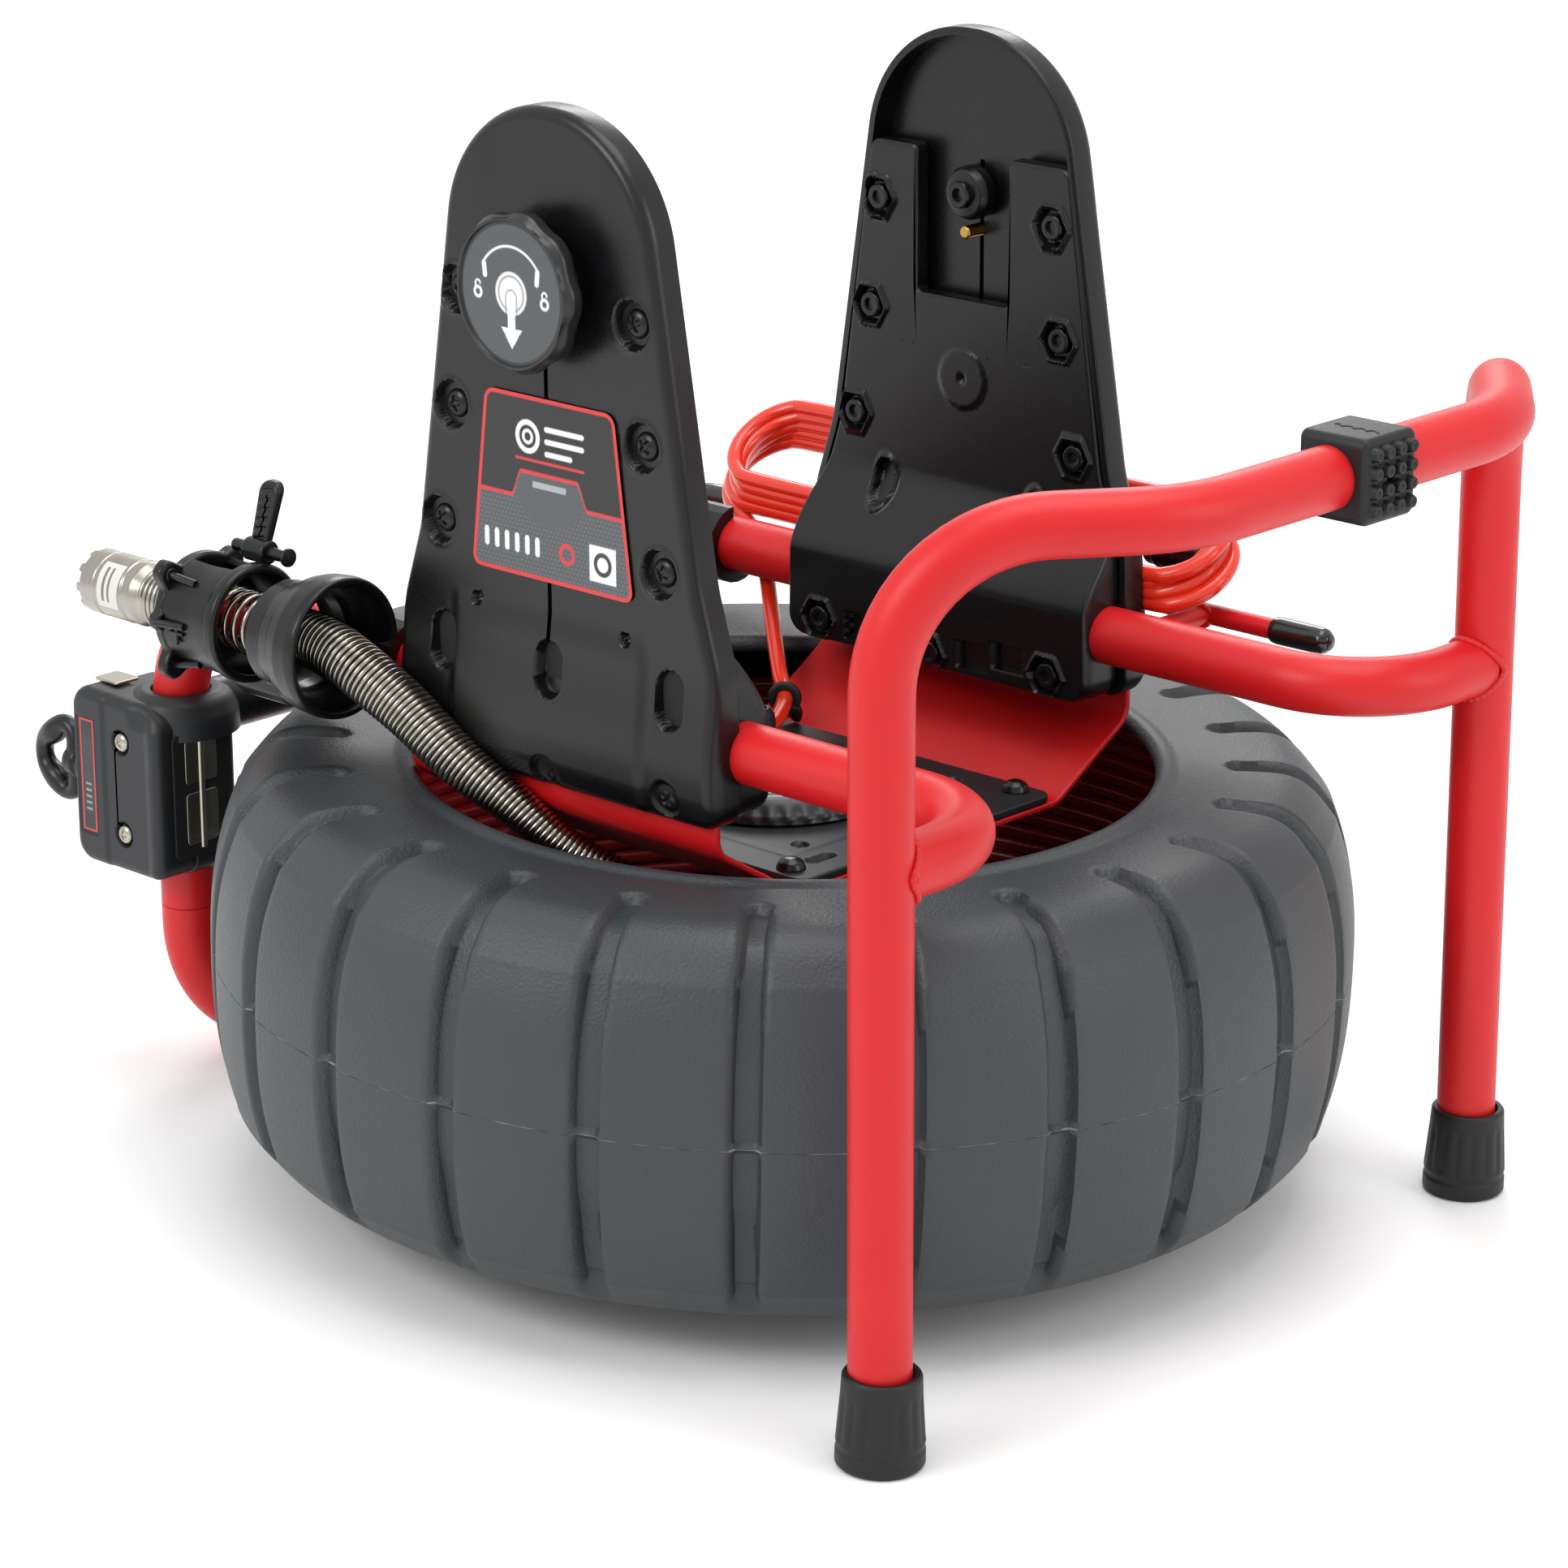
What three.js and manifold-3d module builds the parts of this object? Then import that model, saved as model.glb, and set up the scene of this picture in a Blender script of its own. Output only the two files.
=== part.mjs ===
// Push-cable drain inspection reel: a tyre-shaped drum in a bent-tube frame.
// Millimetres, +Z up, floor at z = 0, drum axis on x = y = 0.
// +X points at the carrying hoop, -X at the camera head, -Y at the near docking arm.
// The welded frame leans back by frameRake; the drum, its hub and the cable stand level.
import * as THREE from "three";
import { mergeVertices } from "three/addons/utils/BufferGeometryUtils.js";
import Module from "manifold-3d";

const wasm = await Module();
wasm.setup();

// ---- driving dimensions ----
const clearance = 0.3; // between pieces that touch
const frameRake = (1.8 * Math.PI) / 180;

const tubeRadius = 11.1;
const tubeSides = 16;
const railY = 100;
const railZ = 204;
const railBendRadius = 42;
const legX = 205;
const legY = 166.4;
const hoopZ = 320;
const hoopOut = 62; // how far the carrying bar stands out past the legs
const hoopBarHalf = 86;
const legBendRadius = 55;
const hoopBendRadius = 60;
const frontX = -228;
const frontBendRadius = 45;
const frontSplitZ = 76; // butt joint of the front uprights

const drumRadius = 217;
const drumMidZ = 93.6;
const drumTopZ = 166.6;
const drumBottomZ = 22;
const drumWall = 4;
const sideDraw = 17; // how far the side wall draws in from the middle to the shoulder
const shoulderZ = 163.5;
const bottomDraw = 12;
const lipRadius = 142;
const beadRadius = 3;
const axleRadius = 12.5;
const bearingWall = 7;
const bearingHeight = 10;

const pushCableDiameter = 6.7;
const coilOuter = 206;
const coilLayers = 2;
const coilTurnsHigh = 16;
const coilFloorZ = drumBottomZ + drumWall + 4;

const trayHalfX = 79;
const trayFloorZ = 145;
const trayFloorHalfY = 72;
const trayFoldZ = 169;
const trayWall = 2.5;
const plateThickness = 3;

const armWall = 3;
const armOuterY = 118;
const armInnerY = 105;
const armFlangeY = 86;
const armSplitY = 112;
const armFootSplitY = 104;
const armTopZ = 426;
const armTopRadius = 52;
const armWaistZ = 264;
const armWaistHalf = 71;
const armHipZ = 234;
const armHipHalf = 80.5;
const armFootZ = 178;
const armFootHalf = 81.5;
const armKneeZ = 245;
const armCoverTopZ = 378;
const recessHalf = 23;
const recessFloorZ = 322;
const knobZ = 362;
const knobRadius = 29;
const knobDepth = 16;
const spindleRadius = 5;
const latchArc = 15;
const latchPinRadius = 2.5;
const latchSweep = (60 * Math.PI) / 180;

const footHeight = 34;
const footFloor = 5;
const footTopRadius = 13.8;
const footBaseRadius = 15.6;
const bumperSize = [30, 29, 31];

const headRadius = 12.6;
const headLength = 36;
const headSpringRadius = 12.2;
const springRadius = 10.6;
const springTailRadius = 5.4;
const guideY = -136;
const clipX = -154;
const funnelX = -106;

const systemCableDiameter = 6.5;
const rodRadius = 4;
const rodY = 143;
const rodZ = 206;
const rodHalfSpan = 156;
const rodShift = -13;
const postX = [-90, 92];
const capRadius = 5.4;
const capLength = 27;

// ---- materials ----
function finish(colour, roughness, metalness) {
  return new THREE.MeshStandardMaterial({ color: colour, roughness, metalness });
}
const redPaint = () => finish(0xd8232a, 0.38, 0.1);
const blackPlastic = () => finish(0x17191b, 0.45, 0);
const greyPlastic = () => finish(0x3a3e41, 0.5, 0);
const drumGrey = () => finish(0x4b5052, 0.6, 0);
const rubber = () => finish(0x202224, 0.75, 0);
const steel = () => finish(0xb9bcbe, 0.3, 0.95);
const cableRed = () => finish(0xe8391f, 0.35, 0);
const cableMaroon = () => finish(0x5a0f14, 0.3, 0);

// ---- solids ----
function toSolid(geometry) {
  const plain = geometry.index ? geometry.toNonIndexed() : geometry.clone();
  const bare = new THREE.BufferGeometry();
  bare.setAttribute("position", plain.getAttribute("position"));
  const merged = mergeVertices(bare, 1e-4);
  const made = new wasm.Manifold(
    new wasm.Mesh({
      numProp: 3,
      vertProperties: new Float32Array(merged.attributes.position.array),
      triVerts: new Uint32Array(merged.index.array),
    }),
  );
  return made;
}

function toGeometry(solid) {
  const mesh = solid.getMesh();
  const geometry = new THREE.BufferGeometry();
  geometry.setAttribute("position", new THREE.BufferAttribute(mesh.vertProperties, mesh.numProp));
  geometry.setIndex(new THREE.BufferAttribute(mesh.triVerts, 1));
  return geometry.toNonIndexed();
}

const join = (first, ...rest) => rest.reduce((sum, one) => sum.add(one), first);
const cut = (first, ...rest) => rest.reduce((left, one) => left.subtract(one), first);

function box(low, high) {
  const size = high.map((value, axis) => value - low[axis]);
  const geometry = new THREE.BoxGeometry(...size);
  geometry.translate(...low.map((value, axis) => value + size[axis] / 2));
  return geometry;
}

// A closed polygon in X and Z, carried along Y from y0 to y1.
function slabXZ(shape, y0, y1, curveSegments = 10) {
  const settings = { depth: y1 - y0, bevelEnabled: false, curveSegments };
  const geometry = new THREE.ExtrudeGeometry(shape, settings);
  geometry.rotateX(Math.PI / 2);
  geometry.translate(0, y1, 0);
  return geometry;
}

// A closed polygon in Y and Z, carried along X from x0 to x1.
function slabYZ(points, x0, x1) {
  const shape = new THREE.Shape(points.map(([y, z]) => new THREE.Vector2(y, z)));
  const geometry = new THREE.ExtrudeGeometry(shape, { depth: x1 - x0, bevelEnabled: false });
  geometry.rotateX(Math.PI / 2);
  geometry.rotateZ(Math.PI / 2);
  geometry.translate(x0, 0, 0);
  return geometry;
}

function slabXY(shape, z0, z1, curveSegments = 10) {
  const geometry = new THREE.ExtrudeGeometry(shape, { depth: z1 - z0, bevelEnabled: false, curveSegments });
  geometry.translate(0, 0, z0);
  return geometry;
}

function roundedRect(halfX, halfY, radius) {
  const shape = new THREE.Shape();
  shape.moveTo(halfX, -halfY + radius);
  shape.absarc(halfX - radius, halfY - radius, radius, 0, Math.PI / 2, false);
  shape.absarc(-halfX + radius, halfY - radius, radius, Math.PI / 2, Math.PI, false);
  shape.absarc(-halfX + radius, -halfY + radius, radius, Math.PI, 1.5 * Math.PI, false);
  shape.absarc(halfX - radius, -halfY + radius, radius, 1.5 * Math.PI, 2 * Math.PI, false);
  return shape;
}

function disc(radius, sides) {
  const corner = (index) => {
    const turn = (index / sides) * 2 * Math.PI;
    return new THREE.Vector2(radius * Math.cos(turn), radius * Math.sin(turn));
  };
  return new THREE.Shape(Array.from({ length: sides }, (_, index) => corner(index)));
}

// A profile of [radius, z] points turned about Z.
function turned(profile, segments = 32) {
  const points = profile.map(([radius, z]) => new THREE.Vector2(radius, z));
  const geometry = new THREE.LatheGeometry(points, segments);
  geometry.rotateX(Math.PI / 2);
  return geometry;
}

// A closed ring profile runs anticlockwise in radius and z, and ends where it starts.
function turnedRing(profile, segments = 32) {
  return turned([...profile, profile[0]], segments);
}

function rod(radius, z0, z1, sides = 20) {
  return slabXY(disc(radius, sides), z0, z1);
}

const alongX = (geometry) => geometry.rotateY(Math.PI / 2);
const alongY = (geometry) => geometry.rotateX(-Math.PI / 2);

// ---- bent tubes ----
// Corners are rounded by true arcs; stations stand only where the tube turns.
function bentStations(corners, radii, arcSteps = 6) {
  const stations = [];
  const push = (point, tangent) => stations.push({ point, tangent });
  const direction = (from, to) => to.clone().sub(from).normalize();
  push(corners[0], direction(corners[0], corners[1]));
  for (let i = 1; i < corners.length - 1; i += 1) {
    const into = direction(corners[i - 1], corners[i]);
    const out = direction(corners[i], corners[i + 1]);
    const angle = into.angleTo(out);
    const setback = radii[i - 1] * Math.tan(angle / 2);
    const start = corners[i].clone().addScaledVector(into, -setback);
    const inward = out.clone().addScaledVector(into, -out.dot(into)).normalize();
    const centre = start.clone().addScaledVector(inward, radii[i - 1]);
    for (let step = 0; step <= arcSteps; step += 1) {
      const turn = (angle * step) / arcSteps;
      const point = centre.clone();
      point.addScaledVector(inward, -radii[i - 1] * Math.cos(turn));
      point.addScaledVector(into, radii[i - 1] * Math.sin(turn));
      const tangent = into.clone().multiplyScalar(Math.cos(turn)).addScaledVector(inward, Math.sin(turn));
      push(point, tangent);
    }
  }
  const last = corners.length - 1;
  push(corners[last], direction(corners[last - 1], corners[last]));
  return stations;
}

class StationCurve extends THREE.Curve {
  constructor(stations) {
    super();
    this.stations = stations;
  }
  pick(t, key) {
    const span = this.stations.length - 1;
    const index = Math.min(Math.floor(t * span + 1e-6), span);
    const next = Math.min(index + 1, span);
    const blend = Math.max(t * span - index, 0);
    return this.stations[index][key].clone().lerp(this.stations[next][key], blend);
  }
  getPoint(t) {
    return this.pick(t, "point");
  }
  getTangent(t) {
    return this.pick(t, "tangent").normalize();
  }
  getUtoTmapping(u) {
    return u;
  }
}

const vectors = (points) => points.map((point) => new THREE.Vector3(...point));

function sweep(stations, radius, sides) {
  const settings = { steps: stations.length - 1, bevelEnabled: false, extrudePath: new StationCurve(stations) };
  return new THREE.ExtrudeGeometry(disc(radius, sides), settings);
}

function bentTube(points, radii, arcSteps, radius = tubeRadius) {
  return sweep(bentStations(vectors(points), radii, arcSteps), radius, tubeSides);
}

// A smooth line through chosen points, cut into equal steps.
function smoothStations(points, steps) {
  const curve = new THREE.CatmullRomCurve3(vectors(points), false, "centripetal");
  const at = (index) => index / steps;
  return Array.from({ length: steps + 1 }, (_, index) => ({
    point: curve.getPointAt(at(index)),
    tangent: curve.getTangentAt(at(index)),
  }));
}

function cordTube(points, steps, diameter, sides) {
  return sweep(smoothStations(points, steps), diameter / 2, sides);
}

// ---- scene graph ----
const machine = new THREE.Group();
const frameGroup = new THREE.Group();
frameGroup.rotation.y = -frameRake;
machine.add(frameGroup);
const drumGroup = new THREE.Group();
machine.add(drumGroup);

function place(group, name, geometry, material) {
  const mesh = new THREE.Mesh(geometry, material);
  mesh.name = name;
  group.add(mesh);
  return mesh;
}

// Heights of the level floor seen from inside the leaning frame.
const floorZAt = (x) => (-x * Math.sin(frameRake)) / Math.cos(frameRake);
const belowFloor = () => {
  const block = box([-400, -300, -80], [400, 300, 0]);
  block.rotateY(frameRake);
  return toSolid(block);
};

// ---- frame tubes ----
const legFootZ = floorZAt(legX) + footFloor + clearance;
const crossZ = floorZAt(frontX) + tubeRadius / Math.cos(frameRake);

const hoopPoints = [
  [legX, -legY, legFootZ],
  [legX, -legY, hoopZ],
  [legX + hoopOut, -hoopBarHalf, hoopZ],
  [legX + hoopOut, hoopBarHalf, hoopZ],
  [legX, legY, hoopZ],
  [legX, legY, legFootZ],
];
const hoopRadii = [legBendRadius, hoopBendRadius, hoopBendRadius, legBendRadius];
place(frameGroup, "leg_hoop", bentTube(hoopPoints, hoopRadii, 6), redPaint());

const weldSetback = tubeRadius + clearance;
const legCylinder = (side) => {
  const post = rod(tubeRadius + clearance, 0, hoopZ, tubeSides * 2);
  post.translate(legX, side * legY, 0);
  return toSolid(post);
};

function railPoints(side) {
  return [
    [legX, side * (legY - weldSetback / 2), railZ],
    [legX, side * railY, railZ],
    [frontX, side * railY, railZ],
    [frontX, side * railY, frontSplitZ],
  ];
}
for (const [side, name] of [[-1, "near_rail"], [1, "far_rail"]]) {
  const tube = toSolid(bentTube(railPoints(side), [railBendRadius, frontBendRadius], 6));
  place(frameGroup, name, toGeometry(cut(tube, legCylinder(side))), redPaint());
}

const crossPoints = [
  [frontX, -railY, frontSplitZ - clearance],
  [frontX, -railY, crossZ],
  [frontX, railY, crossZ],
  [frontX, railY, frontSplitZ - clearance],
];
place(frameGroup, "front_cross_tube", bentTube(crossPoints, [50, 50], 6), redPaint());

// ---- feet ----
function footSolid(side) {
  const base = floorZAt(legX) - footBaseRadius * Math.tan(frameRake) - 1;
  const top = floorZAt(legX) + footHeight;
  const outer = [
    [0, base],
    [footBaseRadius, base],
    [footBaseRadius, floorZAt(legX) + 4],
    [footTopRadius, top - 2],
    [footTopRadius - 1, top],
    [0, top],
  ];
  const body = toSolid(turned(outer, 28));
  const bore = toSolid(rod(tubeRadius + clearance, floorZAt(legX) + footFloor, top + 5, tubeSides * 2));
  const made = cut(body, bore).translate([legX, side * legY, 0]);
  return cut(made, belowFloor());
}
place(frameGroup, "near_foot", toGeometry(footSolid(-1)), rubber());
place(frameGroup, "far_foot", toGeometry(footSolid(1)), rubber());

// ---- rubber rest block on the carrying bar ----
const barX = legX + hoopOut;
{
  const [sizeX, sizeY, sizeZ] = bumperSize;
  const block = slabXZ(roundedRect(sizeX / 2, sizeZ / 2, 3), -sizeY / 2, sizeY / 2, 4);
  block.translate(barX + 3, 0, hoopZ);
  const bore = alongY(rod(tubeRadius + clearance, -sizeY, sizeY, tubeSides * 2));
  bore.translate(barX, 0, hoopZ);
  const peep = alongX(rod(3, 0, sizeX, 12));
  peep.translate(barX, 0, hoopZ);
  place(frameGroup, "bar_rest_block", toGeometry(cut(toSolid(block), toSolid(bore), toSolid(peep))), rubber());
}

// ---- hub tray between the rails ----
const trayFlangeY = railY + tubeRadius + clearance;
{
  const outer = [
    [-trayFlangeY - trayWall, railZ],
    [-trayFlangeY - trayWall, trayFoldZ - 1],
    [-trayFloorHalfY - 1, trayFloorZ - trayWall],
    [trayFloorHalfY + 1, trayFloorZ - trayWall],
    [trayFlangeY + trayWall, trayFoldZ - 1],
    [trayFlangeY + trayWall, railZ],
    [trayFlangeY, railZ],
    [trayFlangeY, trayFoldZ],
    [trayFloorHalfY, trayFloorZ],
    [-trayFloorHalfY, trayFloorZ],
    [-trayFlangeY, trayFoldZ],
    [-trayFlangeY, railZ],
  ];
  place(frameGroup, "hub_tray", slabYZ(outer, -trayHalfX, trayHalfX), redPaint());
}

// ---- black cover plate and turn-to-lock slip ring on the tray ----
const plateZ = trayFloorZ + clearance;
const coreRadius = 13;
const lockRadius = 45;
{
  const plate = toSolid(slabXY(roundedRect(74, 70, 6), plateZ, plateZ + plateThickness));
  place(frameGroup, "hub_cover_plate", toGeometry(plate), blackPlastic());
}
const lockZ = plateZ + plateThickness + clearance;
const lockHeight = 9;
{
  const ring = [
    [coreRadius + clearance, lockZ],
    [lockRadius, lockZ],
    [lockRadius, lockZ + 4],
    [lockRadius - 5, lockZ + lockHeight],
    [coreRadius + clearance, lockZ + lockHeight],
  ];
  place(frameGroup, "slip_ring_lock", turnedRing(ring, 40), blackPlastic());
}
const coreTop = lockZ + lockHeight + 12;
{
  const core = [
    [0, lockZ],
    [coreRadius, lockZ],
    [coreRadius, coreTop - 3],
    [coreRadius - 3, coreTop],
    [0, coreTop],
  ];
  place(frameGroup, "slip_ring_core", turned(core, 24), blackPlastic());
}
const rivetSpots = [
  [66, 62],
  [66, -62],
  [-66, 62],
  [-66, -62],
];
rivetSpots.forEach(([x, y], index) => {
  const dome = [
    [0, lockZ],
    [5.5, lockZ],
    [5, lockZ + 2],
    [3.4, lockZ + 3.5],
    [0, lockZ + 4.2],
  ];
  const rivet = turned(dome, 14);
  rivet.translate(x, y, 0);
  place(frameGroup, "cover_rivet_" + (index + 1), rivet, blackPlastic());
});

// ---- docking arms ----
function armOutline(inset) {
  const shape = new THREE.Shape();
  const topCentre = armTopZ - armTopRadius;
  const slope = (armWaistHalf - armTopRadius) / (topCentre - armWaistZ);
  const startTurn = Math.atan(slope);
  const radius = armTopRadius - inset;
  shape.moveTo(-armFootHalf + inset, armFootZ + inset);
  shape.lineTo(armFootHalf - inset, armFootZ + inset);
  shape.lineTo(armHipHalf - inset, armHipZ);
  shape.lineTo(armWaistHalf - inset, armWaistZ);
  shape.absarc(0, topCentre, radius, startTurn / 2, Math.PI - startTurn / 2, false);
  shape.lineTo(-armWaistHalf + inset, armWaistZ);
  shape.lineTo(-armHipHalf + inset, armHipZ);
  return shape;
}

const mirrorPoints = (points, side) => {
  const turnedPoints = points.map(([y, z]) => [side * y, z]);
  return side < 0 ? turnedPoints.reverse() : turnedPoints;
};

const slabRange = (side, y0, y1) => (side < 0 ? [-y1, -y0] : [y0, y1]);

function outlineSlab(side, inset, y0, y1) {
  const [low, high] = slabRange(side, y0, y1);
  return toSolid(slabXZ(armOutline(inset), low, high, 14));
}

function profileSlab(side, points) {
  return toSolid(slabYZ(mirrorPoints(points, side), -armFootHalf - 5, armFootHalf + 5));
}

function sideBox(side, x0, x1, y0, y1, z0, z1) {
  const [low, high] = slabRange(side, y0, y1);
  return toSolid(box([x0, low, z0], [x1, high, z1]));
}

function sideRod(side, radius, x, z, y0, y1, sides = 20) {
  const [low, high] = slabRange(side, y0, y1);
  const made = alongY(rod(radius, low, high, sides));
  made.translate(x, 0, z);
  return toSolid(made);
}

const railBore = (side) => {
  const bore = alongX(rod(tubeRadius + clearance, -100, 100, tubeSides * 2));
  bore.translate(0, side * railY, railZ);
  return toSolid(bore);
};

// Room for the tray's flange, and for the rail underneath it.
const trayFlangeSlot = (side) =>
  sideBox(
    side,
    -trayHalfX - clearance,
    trayHalfX + clearance,
    armFootSplitY - 4,
    trayFlangeY + trayWall + clearance,
    trayFoldZ - 5,
    railZ + clearance,
  );

// The latch pin reaches out through an arc-shaped slot below the knob's spindle.
function latchSlot(side) {
  const shape = new THREE.Shape();
  const low = latchArc - latchPinRadius - 0.6;
  const high = latchArc + latchPinRadius + 0.6;
  const sweepHalf = latchSweep / 2 + 0.28;
  shape.absarc(0, knobZ, high, -Math.PI / 2 - sweepHalf, -Math.PI / 2 + sweepHalf, false);
  shape.absarc(0, knobZ, low, -Math.PI / 2 + sweepHalf, -Math.PI / 2 - sweepHalf, true);
  const [y0, y1] = slabRange(side, armSplitY - 5, armOuterY + 5);
  return toSolid(slabXZ(shape, y0, y1, 8));
}

const armScrewOvals = [-54, 1.5, 61];
const finX = 38;

function armOuterShell(side) {
  const body = outlineSlab(side, 0, armSplitY, armOuterY);
  const pocket = outlineSlab(side, armWall, armSplitY - 5, armOuterY - armWall);
  let shell = cut(body, pocket);
  for (const x of [-finX, finX]) {
    const fin = [
      [armOuterY - armWall + 1, armCoverTopZ + 2],
      [armOuterY - armWall + 1, armTopZ - 16],
      [armInnerY + 2, armCoverTopZ + 2],
    ];
    shell = join(shell, toSolid(slabYZ(mirrorPoints(fin, side), x - armWall / 2, x + armWall / 2)));
  }
  const boss = sideRod(side, spindleRadius + 5, 0, knobZ, armSplitY + 1, armOuterY - 1, 24);
  shell = join(shell, boss);
  const spindleHole = sideRod(side, spindleRadius + clearance, 0, knobZ, armInnerY, armOuterY + 5, 24);
  const ovals = armScrewOvals.map((x) => {
    const [y0, y1] = slabRange(side, armSplitY - 5, armOuterY + 5);
    const made = slabXZ(roundedRect(6, 10, 6), y0, y1, 5);
    made.translate(x, 0, 223);
    return toSolid(made);
  });
  return cut(shell, spindleHole, latchSlot(side), railBore(side), trayFlangeSlot(side), ...ovals);
}

function armInnerShell(side) {
  const region = [
    [armSplitY - clearance, armCoverTopZ],
    [armInnerY, armCoverTopZ],
    [armInnerY, armKneeZ],
    [armFlangeY, armKneeZ - 34],
    [armFlangeY, armFootZ - 5],
    [armFootSplitY - clearance, armFootZ - 5],
    [armFootSplitY - clearance, armKneeZ - 22.7],
    [armSplitY - clearance, armKneeZ + 0.3],
  ];
  const hollow = [
    [armSplitY + 5, armCoverTopZ - armWall],
    [armInnerY + armWall, armCoverTopZ - armWall],
    [armInnerY + armWall, armKneeZ],
    [armFlangeY + armWall, armKneeZ - 34],
    [armFlangeY + armWall, armFootZ - 5],
    [armSplitY + 5, armFootZ - 5],
  ];
  const body = profileSlab(side, region).intersect(outlineSlab(side, 0, 80, 125));
  const wallBox = (grow) =>
    sideBox(side, -recessHalf - grow, recessHalf + grow, 95, 125, recessFloorZ - grow, armTopZ);
  const pocket = profileSlab(side, hollow).intersect(outlineSlab(side, armWall, 80, 125));
  const shell = cut(body, cut(pocket, wallBox(armWall)), wallBox(0), railBore(side));
  return shell;
}

for (const [side, name] of [[-1, "near"], [1, "far"]]) {
  place(frameGroup, name + "_arm_outer_shell", toGeometry(armOuterShell(side)), blackPlastic());
  place(frameGroup, name + "_arm_inner_cover", toGeometry(armInnerShell(side)), blackPlastic());
}

// ---- dock latch knobs ----
function knobShape() {
  const lobes = 9;
  const samples = lobes * 4;
  const at = (index) => {
    const turn = (index / samples) * 2 * Math.PI;
    const reach = knobRadius - 1.2 + 1.2 * Math.cos(lobes * turn);
    return new THREE.Vector2(reach * Math.cos(turn), reach * Math.sin(turn));
  };
  return new THREE.Shape(Array.from({ length: samples }, (_, index) => at(index)));
}

for (const [side, name] of [[-1, "near"], [1, "far"]]) {
  const [y0, y1] = slabRange(side, armOuterY + clearance, armOuterY + knobDepth);
  const grip = slabXZ(knobShape(), y0, y1);
  grip.translate(0, 0, knobZ);
  const spindle = sideRod(side, spindleRadius, 0, knobZ, armInnerY + 1, armOuterY + 5, 20);
  place(frameGroup, name + "_latch_knob", toGeometry(join(toSolid(grip), spindle)), blackPlastic());

  const hub = sideRod(side, spindleRadius + 4, 0, knobZ, armInnerY + 1, armSplitY + 1 - clearance, 24);
  const arm = sideBox(side, -3, 3, armInnerY + 2, armSplitY - 1, knobZ - latchArc - 3, knobZ);
  const pin = sideRod(side, latchPinRadius, 0, knobZ - latchArc, armInnerY + 2, armOuterY - 0.5, 14);
  const bore = sideRod(side, spindleRadius + clearance, 0, knobZ, armInnerY, armOuterY + 5, 20);
  place(frameGroup, name + "_latch_cam", toGeometry(cut(join(hub, arm, pin), bore)), steel());
}

// ---- label panel on the near arm ----
{
  const shape = new THREE.Shape();
  const topZ = 322;
  const footZ = 255;
  const middleX = 3;
  shape.moveTo(middleX - 41, footZ);
  shape.lineTo(middleX + 41, footZ);
  shape.lineTo(middleX + 32, topZ);
  shape.lineTo(middleX - 32, topZ);
  const [y0, y1] = slabRange(-1, armOuterY + clearance, armOuterY + clearance + 0.8);
  place(frameGroup, "near_arm_label", slabXZ(shape, y0, y1), blackPlastic());
}

// ---- front bridge: a bar between a saddle on each rail ----
const bridgeSaddle = { near: [-128, -89], far: [-152, -116] };
const saddleWall = 5;
{
  const beamHigh = [-117, railY - tubeRadius, railZ + 8];
  let bridge = toSolid(box([-127, -railY + tubeRadius, railZ - 10], beamHigh));
  const spans = [[-1, bridgeSaddle.near], [1, bridgeSaddle.far]];
  for (const [side, [x0, x1]] of spans) {
    const saddle = alongX(rod(tubeRadius + saddleWall, x0, x1, 24));
    saddle.translate(0, side * railY, railZ);
    bridge = join(bridge, toSolid(saddle));
  }
  for (const side of [-1, 1]) {
    const bore = alongX(rod(tubeRadius + clearance, bridgeSaddle.far[0] - 5, bridgeSaddle.near[1] + 5, tubeSides * 2));
    bore.translate(0, side * railY, railZ);
    bridge = cut(bridge, toSolid(bore));
  }
  const mouth = toSolid(box([bridgeSaddle.far[0] - 5, railY - 2, railZ + 4], [bridgeSaddle.far[1] + 5, railY + 30, railZ + 30]));
  place(frameGroup, "front_bridge", toGeometry(cut(bridge, mouth)), blackPlastic());
}

// ---- guide funnel and camera clip, both beside the near rail ----
const guideZ = 216;
function ringAlongX(profile, x, z, segments) {
  const ring = alongX(turnedRing(profile, segments));
  ring.translate(x, guideY, z);
  return toSolid(ring);
}
{
  const funnel = [
    [springRadius + 2, -17],
    [springRadius + 6, -17],
    [springRadius + 9, -6],
    [26, 8],
    [27, 14],
    [24.5, 17],
    [21.5, 14],
    [20, 4],
    [springRadius + 3.5, -8],
  ];
  const ring = ringAlongX(funnel, funnelX, guideZ, 28);
  const seat = alongX(rod(tubeRadius + saddleWall + clearance, funnelX - 40, funnelX + 40, 32));
  seat.translate(0, -railY, railZ);
  const throat = alongX(rod(springRadius + 2, -30, 30, 24));
  throat.translate(funnelX, guideY, guideZ);
  place(frameGroup, "guide_funnel", toGeometry(cut(ring, toSolid(seat), toSolid(throat))), blackPlastic());
}
const clipRadius = 22;
const clipHalf = 18;
const clipBore = headSpringRadius + 4;
const strapPinY = guideY + 10;
const strapPinZ = guideZ + 25;
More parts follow.
